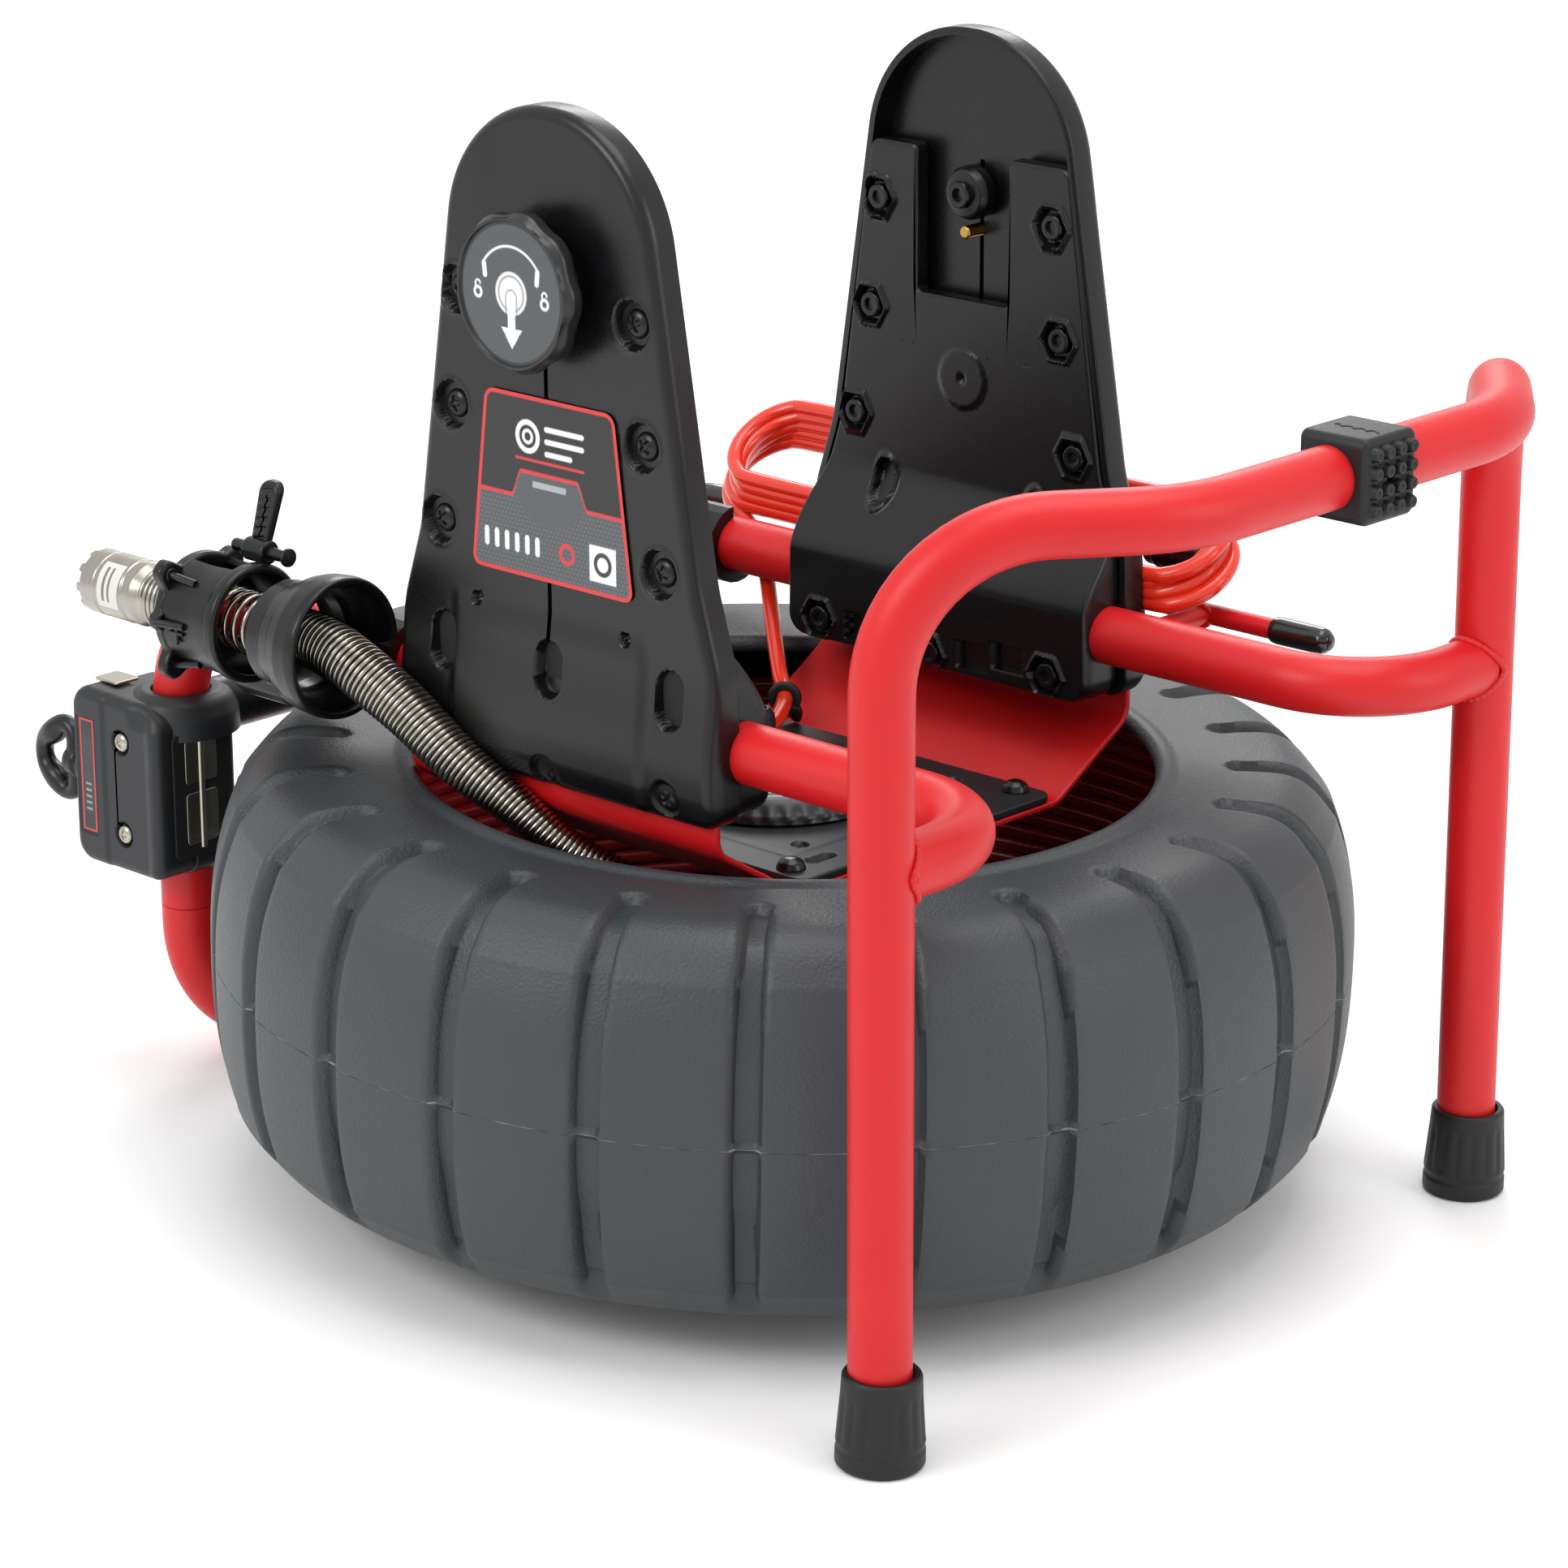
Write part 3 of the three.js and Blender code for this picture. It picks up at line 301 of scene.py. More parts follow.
# One moulded, painted or drawn surface: a slow drift of tone, uneven gloss, and a grain of stated size
# and depth.
def surface(name, look):
    made, tree, shader, place = newMaterial(name)
    stretch = look.get("stretch")
    if stretch:
        place = addNode(tree, "ShaderNodeMapping", {"Vector": place, "Scale": stretch}).outputs[0]
    drift = addNode(
        tree,
        "ShaderNodeTexNoise",
        {"Vector": place, "Scale": 1000 / look.get("driftSize", 35), "Detail": 4.0, "Roughness": 0.55},
    ).outputs[0]
    grain = addNode(
        tree,
        "ShaderNodeTexNoise",
        {"Vector": place, "Scale": 1000 / look["grainSize"], "Detail": 3.0, "Roughness": 0.6},
    ).outputs[0]
    light = addNode(
        tree,
        "ShaderNodeMix",
        {"Factor": drift, "A": linear(look["shade"]), "B": linear(look["colour"])},
        data_type="RGBA",
    )
    light.inputs[6].default_value = linear(look["shade"])
    light.inputs[7].default_value = linear(look["colour"])
    tree.links.new(light.outputs[2], shader.inputs["Base Color"])
    gloss = addNode(
        tree,
        "ShaderNodeMapRange",
        {
            "Value": grain,
            "From Min": 0.3,
            "From Max": 0.7,
            "To Min": look["roughness"] - look.get("glossSpread", 0.05),
            "To Max": look["roughness"] + look.get("glossSpread", 0.05),
        },
    ).outputs[0]
    tree.links.new(gloss, shader.inputs["Roughness"])
    height = grain
    if look.get("cells"):
        cell = addNode(
            tree,
            "ShaderNodeTexVoronoi",
            {"Vector": place, "Scale": 1000 / look["cells"], "Smoothness": 0.6},
            feature="SMOOTH_F1",
        ).outputs[0]
        height = addNode(tree, "ShaderNodeMath", {0: cell, 1: grain}, operation="ADD").outputs[0]
    bump = addNode(
        tree,
        "ShaderNodeBump",
        {"Height": height, "Strength": 1.0, "Distance": look["grainDepth"] * millimetre},
    ).outputs[0]
    tree.links.new(bump, shader.inputs["Normal"])
    shader.inputs["Metallic"].default_value = look.get("metallic", 0.0)
    shader.inputs["Specular IOR Level"].default_value = look.get("shine", 0.5)
    shader.inputs["Coat Weight"].default_value = look.get("coat", 0.0)
    shader.inputs["Coat Roughness"].default_value = look.get("coatRoughness", 0.15)
    return made


# A printed surface: its colours are held on the piece's own vertices.
def printed(name, roughness):
    made, tree, shader, place = newMaterial(name)
    ink = addNode(tree, "ShaderNodeVertexColor", layer_name="ink").outputs[0]
    tree.links.new(ink, shader.inputs["Base Color"])
    fine = addNode(tree, "ShaderNodeTexNoise", {"Vector": place, "Scale": 1400.0, "Detail": 2.0}).outputs[0]
    gloss = addNode(
        tree, "ShaderNodeMapRange", {"Value": fine, "To Min": roughness - 0.06, "To Max": roughness + 0.06}
    ).outputs[0]
    tree.links.new(gloss, shader.inputs["Roughness"])
    bump = addNode(tree, "ShaderNodeBump", {"Height": fine, "Distance": 0.00002}).outputs[0]
    tree.links.new(bump, shader.inputs["Normal"])
    return made


finish = {
    # Baked powder coat: a fine orange peel that breaks up the edge of every highlight.
    "redPaint": surface(
        "powder_coat_red",
        {
            "colour": "#C9161A", "shade": "#BD1115", "roughness": 0.42, "grainSize": 1.1,
            "grainDepth": 0.05, "shine": 0.38,
        },
    ),
    # Injection-moulded black plastic with a fine satin texture.
    "blackPlastic": surface(
        "moulded_plastic_satin_black",
        {
            "colour": "#0C0D0F", "shade": "#090A0B", "roughness": 0.3, "grainSize": 0.7,
            "grainDepth": 0.018, "shine": 0.4,
        },
    ),
    # A coarser spark-eroded texture on the sensor housing: matt, greyer.
    "greyPlastic": surface(
        "moulded_plastic_eroded_grey",
        {
            "colour": "#1F2124", "shade": "#191B1E", "roughness": 0.45, "grainSize": 0.55,
            "grainDepth": 0.06, "shine": 0.42,
        },
    ),
    # Rotationally moulded drum with a leather grain of about a millimetre.
    "drumPlastic": surface(
        "rotomoulded_leather_grey",
        {
            "colour": "#34393C",
            "shade": "#2B3033",
            "roughness": 0.46,
            "grainSize": 0.8,
            "grainDepth": 0.16,
            "cells": 1.35,
            "driftSize": 60,
        },
    ),
    # Compression-moulded rubber: matt, faint bloom.
    "rubber": surface(
        "moulded_rubber_black",
        {
            "colour": "#121314", "shade": "#0D0E0F", "roughness": 0.5, "grainSize": 0.9, "grainDepth": 0.03,
            "shine": 0.4,
        },
    ),
    # Dipped vinyl: smooth, wet-looking.
    "vinyl": surface(
        "dipped_vinyl_black",
        {
            "colour": "#141415", "shade": "#101011", "roughness": 0.18, "grainSize": 3.0,
            "grainDepth": 0.02, "coat": 0.5,
        },
    ),
    # Drawn spring wire: bright, with faint draw marks.
    "springWire": surface(
        "drawn_spring_steel",
        {
            "colour": "#B9B4AB",
            "shade": "#8F8A81",
            "roughness": 0.22,
            "grainSize": 0.5,
            "grainDepth": 0.008,
            "metallic": 1.0,
            "driftSize": 9,
        },
    ),
    # Turned stainless steel: fine rings left by the lathe tool.
    "turnedSteel": surface(
        "turned_stainless_steel",
        {
            "colour": "#B4B0A8",
            "shade": "#98948C",
            "roughness": 0.3,
            "grainSize": 4.0,
            "grainDepth": 0.02,
            "metallic": 1.0,
            "stretch": (14.0, 1.0, 1.0),
        },
    ),
    # Nickel plate on pressed strip: brighter and warmer than bare steel.
    "nickel": surface(
        "nickel_plated_strip",
        {
            "colour": "#BDB7A9", "shade": "#A59F91", "roughness": 0.22, "grainSize": 0.8,
            "grainDepth": 0.01, "metallic": 1.0,
        },
    ),
    # Zinc screws with a black oxide finish.
    "blackScrew": surface(
        "black_oxide_screw",
        {
            "colour": "#1B1B1D", "shade": "#121214", "roughness": 0.26, "grainSize": 0.5,
            "grainDepth": 0.01, "metallic": 0.35,
        },
    ),
    # Glossy red jacket on the system cable.
    "cableRed": surface(
        "extruded_jacket_red",
        {
            "colour": "#E2331A", "shade": "#D22A14", "roughness": 0.22, "grainSize": 2.2,
            "grainDepth": 0.015, "coat": 0.35,
        },
    ),
    # Push cable jacket: the real jacket is dark red; this colour is painted brighter, as painted light, to make up for
    # the shade inside the drum.
    "cableMaroon": surface(
        "extruded_jacket_maroon",
        {
            "colour": "#C0282B", "shade": "#A51E21", "roughness": 0.25, "grainSize": 2.5,
            "grainDepth": 0.015, "coat": 0.3,
        },
    ),
    # Brass pins.
    "brass": surface(
        "turned_brass",
        {
            "colour": "#C8A45A", "shade": "#A98746", "roughness": 0.3, "grainSize": 0.7, "grainDepth": 0.01,
            "metallic": 1.0,
        },
    ),
    # Screen print under a satin film.
    "print": printed("screen_printed_film", 0.33),
    # Painted shade: near-black paint standing in for the shadow inside deep holes and recesses.
    "shadowBlack": surface(
        "unlit_cavity_black",
        {"colour": "#0B0B0C", "shade": "#080809", "roughness": 0.7, "grainSize": 1.0, "grainDepth": 0.01},
    ),
}
print("finishes made")


# Camera, floor and light.

shot = {
    "position": (1244.4, -1336.8, 786.1),
    "forward": (-0.6439, 0.6913, -0.3279),
    "roll": math.radians(1.164),
    "lens": 117.39,
}


def setCamera(spec):
    forward = Vector(spec["forward"]).normalized()
    level = forward.cross(Vector((0, 0, 1))).normalized()
    rise = level.cross(forward)
    right = level * math.cos(spec["roll"]) + rise * math.sin(spec["roll"])
    up = right.cross(forward)
    lensData = bpy.data.cameras.new("shot")
    lensData.lens = spec["lens"]
    lensData.sensor_width = 36.0
    lensData.dof.use_dof = False
    lensData.clip_start, lensData.clip_end = 0.05, 50.0
    made = bpy.data.objects.new("shot", lensData)
    bpy.context.scene.collection.objects.link(made)
    turn = Matrix((right, up, -forward)).transposed().to_4x4()
    made.matrix_world = Matrix.Translation(Vector(spec["position"]) * millimetre) @ turn
    bpy.context.scene.camera = made


setCamera(shot)

room = {"floorHalf": 9.0, "floorColour": "#F2F2F2", "worldStrength": 0.95}


def setRoom(spec):
    h = spec["floorHalf"]
    mesh = bpy.data.meshes.new("floor")
    mesh.from_pydata([(-h, -h, 0), (h, -h, 0), (h, h, 0), (-h, h, 0)], [], [(0, 1, 2, 3)])
    floorMade = newMaterial("matt_paper_floor")
    paper, shader = floorMade[0], floorMade[2]
    shader.inputs["Base Color"].default_value = linear(spec["floorColour"])
    shader.inputs["Roughness"].default_value = 0.7
    mesh.materials.append(paper)
    floor = bpy.data.objects.new("floor", mesh)
    bpy.context.scene.collection.objects.link(floor)
    world = bpy.data.worlds.new("studio")
    bpy.context.scene.world = world
    world.use_nodes = True
    background = world.node_tree.nodes["Background"]
    background.inputs[0].default_value = (1.0, 1.0, 1.0, 1.0)
    background.inputs[1].default_value = spec["worldStrength"]


def softbox(name, at, aim, size, watts):
    data = bpy.data.lights.new(name, "AREA")
    data.shape = "RECTANGLE"
    data.size, data.size_y = size
    data.energy = watts
    made = bpy.data.objects.new(name, data)
    bpy.context.scene.collection.objects.link(made)
    made.location = at
    made.rotation_euler = (Vector(aim) - Vector(at)).to_track_quat("-Z", "Y").to_euler()
    return made


setRoom(room)
bpy.context.scene.view_settings.view_transform = "Standard"
softbox("key", (-0.5, -2.2, 1.7), (0, 0, 0.2), (1.3, 1.0), 26)
softbox("overhead", (0.2, 0.1, 2.4), (0, 0, 0.1), (1.8, 1.4), 26)
softbox("sideFill", (2.2, 0.5, 1.2), (0, 0, 0.2), (1.0, 1.4), 12)
softbox("backLight", (-1.6, 1.8, 1.6), (0, 0, 0.2), (1.2, 0.8), 16)
print("camera and light set")


# The system cable: out of the slip ring, up past the far rail, then wound on the two posts.

cable = {
    "diameter": 6.5,
    "strand": [
        (-14, 5, 166),
        (-22, 18, 164.5),
        (-34, 36, 161.5),
        (-54, 62, 160),
        (-70, 76, 164),
        (-84, 88, 173),
        (-96, 98, 184),
        (-108, 108, 194),
        (-119, 115, 203),
    ],
    "turns": 5,
    "frontX": -126,
    "rearX": 80,
    "foldRadius": 20.6,
    "tilt": math.radians(33),
    "nearY": 119.5,
    "lowZ": 210.5,
    "pitch": (0.6, 4.1),
    "leaveEarly": 26,
    "tail": [(0, 151, 246.5), (20, 150, 241), (36, 148.5, 234), (46, 147.2, 229.6), (53, 146.8, 228)],
}


# Hank: a stadium wound turn beside turn in a leaning plane: with d measured along the lean and the turns stacked
# square to it, y = near + d cos(tilt) - stack sin(tilt), z = low + d sin(tilt) + stack cos(tilt).
def cableRoute(spec):
    r, c, s = spec["foldRadius"], math.cos(spec["tilt"]), math.sin(spec["tilt"])
    q = np.linspace(0, math.pi, 15)[1:-1]
    line = []
    for k in range(spec["turns"]):
        rear, front = spec["rearX"] + 4.0 * math.cos(1.7 * k), spec["frontX"] - 3.0 * math.cos(1.1 * k)
        run = np.linspace(front + 10, rear - 10, 9)
        x = np.concatenate([front - r * np.sin(q), run, rear + r * np.sin(q), run[::-1]])
        d = np.concatenate([r - r * np.cos(q), run * 0 + 2 * r, r + r * np.cos(q), run * 0])
        turn = k + np.linspace(0, 1, len(x), endpoint=False)
        d = d + spec["pitch"][0] * turn
        stack = spec["pitch"][1] * turn
        line.append(np.stack(
            [x, spec["nearY"] + d * c - stack * s * 0.35, spec["lowZ"] + d * s + stack * c], -1,
        ))
    whole = np.concatenate(line)
    return whole[: len(whole) - spec["leaveEarly"]]


def makeCable(spec):
    hank = cableRoute(spec)
    lead = np.array(spec["strand"], float)
    tail = np.array(spec["tail"], float)
    points = raked(np.concatenate([lead, hank, tail]))
    route = smoothPath(points, 1.8)
    verts, faces = tube(route, spec["diameter"] / 2, sides=14, reference=(0.3, 1, 0.2))
    made = addPiece(
        "systemCable",
        verts,
        faces,
        finish["cableRed"],
        "frame",
        ["system_cable_hank", "system_cable"],
    )
    length = float(np.sum(np.linalg.norm(np.diff(route, axis=0), axis=1))) * millimetre
    return made, route * millimetre, length


systemCable, cablePath, cableLength = makeCable(cable)

plug = {
    "start": (52, 146.8, 228),
    "length": 39.0,
    "profile": [
        (0, 0), (3.6, 0), (4.2, 3), (4.2, 7), (7.2, 9.5), (8.4, 11), (8.4, 14.5), (9.1, 15.5), (9.1, 17.3),
        (8.5, 18.0), (9.1, 18.8), (9.1, 20.6), (8.5, 21.3), (9.1, 22.1), (9.1, 23.9), (8.5, 24.6), (9.1, 25.4),
        (9.1, 27.2), (8.5, 27.9), (9.1, 28.7), (9.1, 36.5), (8.6, 38.6), (7.7, 39), (7.3, 38.4), (7.3, 37),
        (6.9, 36.2), (7.3, 35.4), (7.3, 34), (6.9, 33.2), (7.3, 32.4), (7.3, 29), (2.6, 29), (2.6, 34), (0, 34),
    ],
}


# Coupling: a turned nut with coarse threads outside and in its mouth, flats along the grip.
def makePlug(spec):
    def flats(r, h, a):
        grip = (h > 29) & (h < 36.6) & (r > 8.8)
        return r - grip * 0.35 * (0.5 + 0.5 * np.cos(18 * a)), h

    profile = filleted(spec["profile"], [0.25] * len(spec["profile"]), step=0.35)
    verts, faces = turned(profile, (0, 0, 0), "x", 108, flats)
    return addPiece(
        "systemCablePlug",
        raked(verts + np.array(spec["start"], float)),
        faces,
        finish["blackPlastic"],
        "frame",
        ["system_cable_plug"],
    )


systemCablePlug = makePlug(plug)
print("cable made", round(cableLength, 3))


# Frame of bent tube.

tubing = {
    "radius": 11.1,
    "hoop": [
        (205, -166.4, -1), (205, -166.4, 320), (267, -86, 320), (267, 86, 320), (205, 166.4, 320),
        (205, 166.4, -1),
    ],
    "hoopRadii": [0, 55, 60, 60, 55, 0],
    "rail": [(205, -160.7, 204), (205, -100, 204), (-228, -100, 204), (-228, -100, 76)],
    "railRadii": [0, 42, 45, 0],
    "cross": [(-228, -100, 75.7), (-228, -100, 18.3), (-228, 100, 18.3), (-228, 100, 75.7)],
    "crossRadii": [0, 50, 50, 0],
    "bar": [(-228, -84, 154), (-228, 93, 154)],
}


def makeFrame(spec):
    r = spec["radius"]
    hoop = filleted(spec["hoop"], spec["hoopRadii"], step=3)
    v, f = tube(raked(hoop), r, 56, (1, 0, 0.05))
    addPiece("legHoop", v, f, finish["redPaint"], "frame", ["leg_hoop"])
    rail = filleted(spec["rail"], spec["railRadii"], step=3)
    for name, flip in (("near", 1), ("far", -1)):
        path = rail * np.array([1, flip, 1])
        v, f = tube(raked(path), r, 56, (1, flip * 1.3, 0.8))
        addPiece(name + "Rail", v, f, finish["redPaint"], "frame", [name + "_rail"])
    cross = filleted(spec["cross"], spec["crossRadii"], step=3)
    v, f = tube(raked(cross), r, 56, (1, 0, 0))
    addPiece("frontCrossTube", v, f, finish["redPaint"], "frame", ["front_cross_tube"])
    bar = filleted(spec["bar"], [0, 0], step=4)
    v, f = tube(raked(bar), r, 48, (1, 0, 0))
    addPiece("frontHandleBar", v, f, finish["blackPlastic"], "frame", ["front_handle_bar"])


makeFrame(tubing)


# Weld bead: a ripple run round the line where the rail meets the leg, y = leg - R |sin a|, on a tube of radius R.
def makeWelds(spec):
    r = spec["radius"]
    a = np.linspace(0, 2 * math.pi, 260, endpoint=False)
    for name, flip in (("near", 1), ("far", -1)):
        y = -166.4 + np.sqrt((r * np.sin(a)) ** 2 + 5.0) + 0.8
        path = np.stack([205 + (r + 0.2) * np.cos(a), flip * y, 204 + (r + 0.2) * np.sin(a)], -1)
        bead = 1.35 + 0.13 * np.cos(34 * a) + 0.14 * np.sin(5 * a + 0.7)
        v, f = tube(raked(path), bead, 12, (0.1, 1, 0.05), closed=True)
        addPiece(name + "RailWeld", v, f, finish["redPaint"], "frame")


makeWelds(tubing)
print("frame tubes made")


# Drum: two rotomoulded shells with 24 grooves, a bead at the mouth and a parting line.

drum = {
    "radius": 217.0,
    "topDraw": 17.0,
    "bottomDraw": 12.0,
    "partZ": 93.6,
    "shoulderZ": 150.0,
    "lowerZ": 36.0,
    "grooves": 24, "columnsPerGroove": 30,
    "phase": 0.088,
    "grooveDepth": 6.2,
    "grooveHalf": 5.2,
    "grooveInner": 166.0,
    "wall": 4.0,
}


def upperProfile(spec):
    z = np.linspace(spec["partZ"] + 0.15, spec["shoulderZ"], 44)
    t = (z - spec["partZ"]) / (163.5 - spec["partZ"])
    side = np.stack([spec["radius"] - spec["topDraw"] * t**2.5, z], -1)
    top = [
        (198.5, 160.0), (190, 165.0), (178, 166.2), (160, 165.6), (148.5, 164.6), (146.2, 165.4),
        (143.4, 166.4),
    ]
    mouth = [(140.4, 165.4), (139.2, 162.4), (140.6, 160.0), (143.6, 159.4), (150, 160.6)]
    inside = [(176, 161.8), (194, 158.0), (205, 140), (211, 120), (212.6, 97), (212.8, 94)]
    line = np.concatenate([side, top, mouth])
    return smoothPath(line, 1.55), smoothPath(np.array(mouth[-2:] + inside), 4.0)


def lowerProfile(spec):
    z = np.linspace(spec["partZ"] - 0.15, spec["lowerZ"], 30)
    t = (spec["partZ"] - z) / (spec["partZ"] - 25)
    side = np.stack([spec["radius"] - spec["bottomDraw"] * t**2.5, z], -1)
    base = [(200, 25.6), (192, 22.2), (180, 22), (140, 22), (100, 22), (61, 22), (60, 23)]
    inside = [(60, 26), (100, 26), (180, 26), (194, 28), (203, 42), (211, 70), (212.8, 90), (212.8, 93.4)]
    return smoothPath(np.concatenate([side, base]), 1.7), smoothPath(np.array(inside), 4.0)


# Groove: depth = D * (1 - smooth step of |arc - centre|), one wall steeper, its inner end round on the shoulder.
def grooveDepth(spec, r, z, a):
    pitch = 2 * math.pi / spec["grooves"]
    away = ((a + spec["phase"] + pitch / 2) % pitch - pitch / 2) * r
    half = spec["grooveHalf"]
    onTop = smoothStep(150, 160, z)
    inner = np.clip((spec["grooveInner"] + half - r) * onTop, 0, None)
    reach = np.sqrt(away**2 + inner**2)
    sharp = np.where(away > 0, 1.7, 1.7 + 2.8 * onTop)
    depth = spec["grooveDepth"] * (1 - smoothStep(half - sharp, half + 0.9, reach)) * (1 - 0.12 * onTop)
    shelf = 1 - 0.62 * np.exp(-(((z - spec["partZ"]) / 2.4) ** 2))
    foot = smoothStep(24, 34, z)
    return depth * shelf * foot


# Shell: p(t, a) = (r - groove(t, a)) about the drum's axis.
def makeShell(name, spec, profiles, node):
    outer, inner = profiles
    sides = spec["grooves"] * spec["columnsPerGroove"]
    a = np.linspace(0, 2 * math.pi, sides, endpoint=False)[None, :]
    r, z = outer[:, 0][:, None] * np.ones_like(a), outer[:, 1][:, None] * np.ones_like(a)
    slope = unit(np.gradient(outer, axis=0))
    nr, nz = slope[:, 1][:, None], -slope[:, 0][:, None]
    sign = np.where(nr[:8].mean() > 0, 1, -1)
    depth = grooveDepth(spec, r, z, a)
    r2, z2 = r - sign * nr * depth, z - sign * nz * depth
    outside = np.stack([r2 * np.cos(a), r2 * np.sin(a), z2], -1)
    ri, zi = inner[:, 0][:, None] * np.ones_like(a), inner[:, 1][:, None] * np.ones_like(a)
    inside = np.stack([ri * np.cos(a), ri * np.sin(a), zi], -1)
    verts = np.concatenate([outside, inside])
    faces = gridFaces(len(verts), sides, closeRows=True)
    addPiece(name, verts, faces, finish["drumPlastic"], "drum", [node], smooth=60)


makeShell("drumUpperShell", drum, upperProfile(drum), "drum_upper_shell")
makeShell("drumLowerShell", drum, lowerProfile(drum), "drum_lower_shell")


# Moulding flash: a thin ragged lip along the parting line, thickest where the tool has worn.
def makeFlash(spec):
    a = np.linspace(0, 2 * math.pi, spec["grooves"] * spec["columnsPerGroove"], endpoint=False)
    r = np.full_like(a, spec["radius"])
    r = r - grooveDepth(spec, r, np.full_like(a, spec["partZ"]), a) - 0.5
    ragged = 0.32 + 0.12 * np.sin(41 * a) * np.sin(7 * a + 1) + 0.08 * np.sin(133 * a + 2)
    path = np.stack([(r + 0.05) * np.cos(a), (r + 0.05) * np.sin(a), np.full_like(a, spec["partZ"])], -1)
    v, f = tube(path, ragged, 8, (0, 0, 1), closed=True)
    addPiece("drumPartingFlash", v, f, finish["flash"], "drum")


finish["flash"] = surface(
    "trimmed_flash_pale_grey",
    {"colour": "#7E8487", "shade": "#6A7073", "roughness": 0.6, "grainSize": 1.2, "grainDepth": 0.03},
)
makeFlash(drum)
print("drum made")


# Push cable: two layers of helix wound against the inside of the drum wall.

coil = {"diameter": 6.7, "outerR": 199.0, "innerR": 192.2, "lowZ": 46, "highZ": 132.0, "turns": 13}


def makeCoil(spec):
    parts = []
    for layer, radius in enumerate((spec["outerR"], spec["innerR"])):
        turns = spec["turns"]
        a = np.linspace(0, 2 * math.pi * turns, 150 * turns)
        z = spec["lowZ"] + (spec["highZ"] - spec["lowZ"]) * a / a[-1]
        r = radius - 0.8 + 0.8 * np.sin(a * 0.37 + layer) * np.sin(a * 1.3)
        path = np.stack([r * np.cos(a), r * np.sin(a), z if layer == 0 else z[::-1]], -1)
        parts.append(tube(path, spec["diameter"] / 2 - 0.05, 10, (0, 0, 1)))
    v, f = joined(parts)
    addPiece("pushCableCoil", v, f, finish["cableMaroon"], "drum", ["push_cable_coil"])


makeCoil(coil)
print("push cable made")


# Springs and the camera head.

# Wire wound on a moving centre line: p(s, b) = path + (R - w) * turn(s) + w * circle(b), its angle n * 2 pi * s.
def woundSpring(path, outer, wire, pitch, wireSides=8, perTurn=26, reference=(0, 0.2, 1)):
    lengths = np.r_[0, np.cumsum(np.linalg.norm(np.diff(path, axis=0), axis=1))]
    turns = lengths[-1] / pitch
    t = np.linspace(0, lengths[-1], int(turns * perTurn))
    centre = np.stack([np.interp(t, lengths, path[:, k]) for k in range(3)], -1)
    side, up = framesOf(centre, reference)[1:]
    angle = 2 * math.pi * t / pitch
    radius = np.interp(t / lengths[-1], np.linspace(0, 1, len(outer)), outer) - wire
    spoke = side * np.cos(angle)[:, None] + up * np.sin(angle)[:, None]
    line = centre + spoke * radius[:, None]
    b = np.linspace(0, 2 * math.pi, wireSides, endpoint=False)
    heading = unit(np.gradient(line, axis=0))
    spoke = unit(spoke - heading * np.sum(spoke * heading, -1, keepdims=True))
    across = np.cross(heading, spoke)
    ring = np.cos(b)[None, :, None] * spoke[:, None] + np.sin(b)[None, :, None] * across[:, None]
    verts = line[:, None] + wire * ring
    faces = gridFaces(len(line), wireSides).tolist()
    last = (len(line) - 1) * wireSides
    faces += [list(range(wireSides)), list(range(last, last + wireSides))]
    return verts.reshape(-1, 3), faces


spring = {
    "path": [
        (-123.6, -136, 216), (-101, -136, 215.5), (-84, -135.5, 210), (-61.5, -132, 198), (-38.5, -128.8, 183),
        (-17.5, -122.8, 170), (3, -115.7, 156.2), (21.5, -105.5, 146.5),
    ],
    "outer": [11.0, 11.0, 10.8, 10.4, 9.8, 9.0, 8.0, 7.0, 6.0],
    "wire": 1.02,
    "pitch": 2.2,
}
headSpring = {
    "x0": -193.2,
    "tightX": -170.0,
    "x1": -123.9,
    "y": -136.0,
    "z": 216.0,
    "outer": 12.2,
    "wire": 1.12,
    "tightPitch": 2.6,
    "openPitch": 5.2,
}


def makeSprings(spec, head):
    path = smoothPath(raked(spec["path"]), 1.0)
    v, f = woundSpring(path, spec["outer"], spec["wire"], spec["pitch"])
    core = tube(
        path, np.interp(np.linspace(0, 1, len(path)), np.linspace(0, 1, 9), spec["outer"]) - 1.9, 20,
        (0, 0.2, 1),
    )
    addPiece("pushSpring", v, f, finish["springWire"], "frame", ["push_spring"], smooth=80)
    addPiece("pushSpringCable", core[0], core[1], finish["rubber"], "frame")
    line = [(head["x0"], head["y"], head["z"]), (head["tightX"], head["y"], head["z"])]
    v, f = woundSpring(
        smoothPath(raked(line), 1.0), [head["outer"]] * 2, head["wire"], head["tightPitch"], 10, 40,
    )
    v2, f2 = woundSpring(
        smoothPath(raked([line[1], (head["x1"], head["y"], head["z"])]), 1.0),
        [head["outer"]] * 2,
        head["wire"],
        head["openPitch"],
        10,
        44,
    )
    v, f = joined([(v, f), (v2, f2)])
    addPiece("cameraSpring", v, f, finish["springWire"], "frame", ["camera_spring"], smooth=80)
    core = smoothPath(raked([line[0], (head["x1"], head["y"], head["z"])]), 2.0)
    v, f = tube(core, 5.6, 24, (0, 0.2, 1))
    addPiece("cameraSpringCore", v, f, finish["cableMaroon"], "frame")


makeSprings(spring, headSpring)

cameraHead = {"x0": -229.5, "length": 36.0, "radius": 12.6, "y": -136.0, "z": 216.0, "notches": 10}


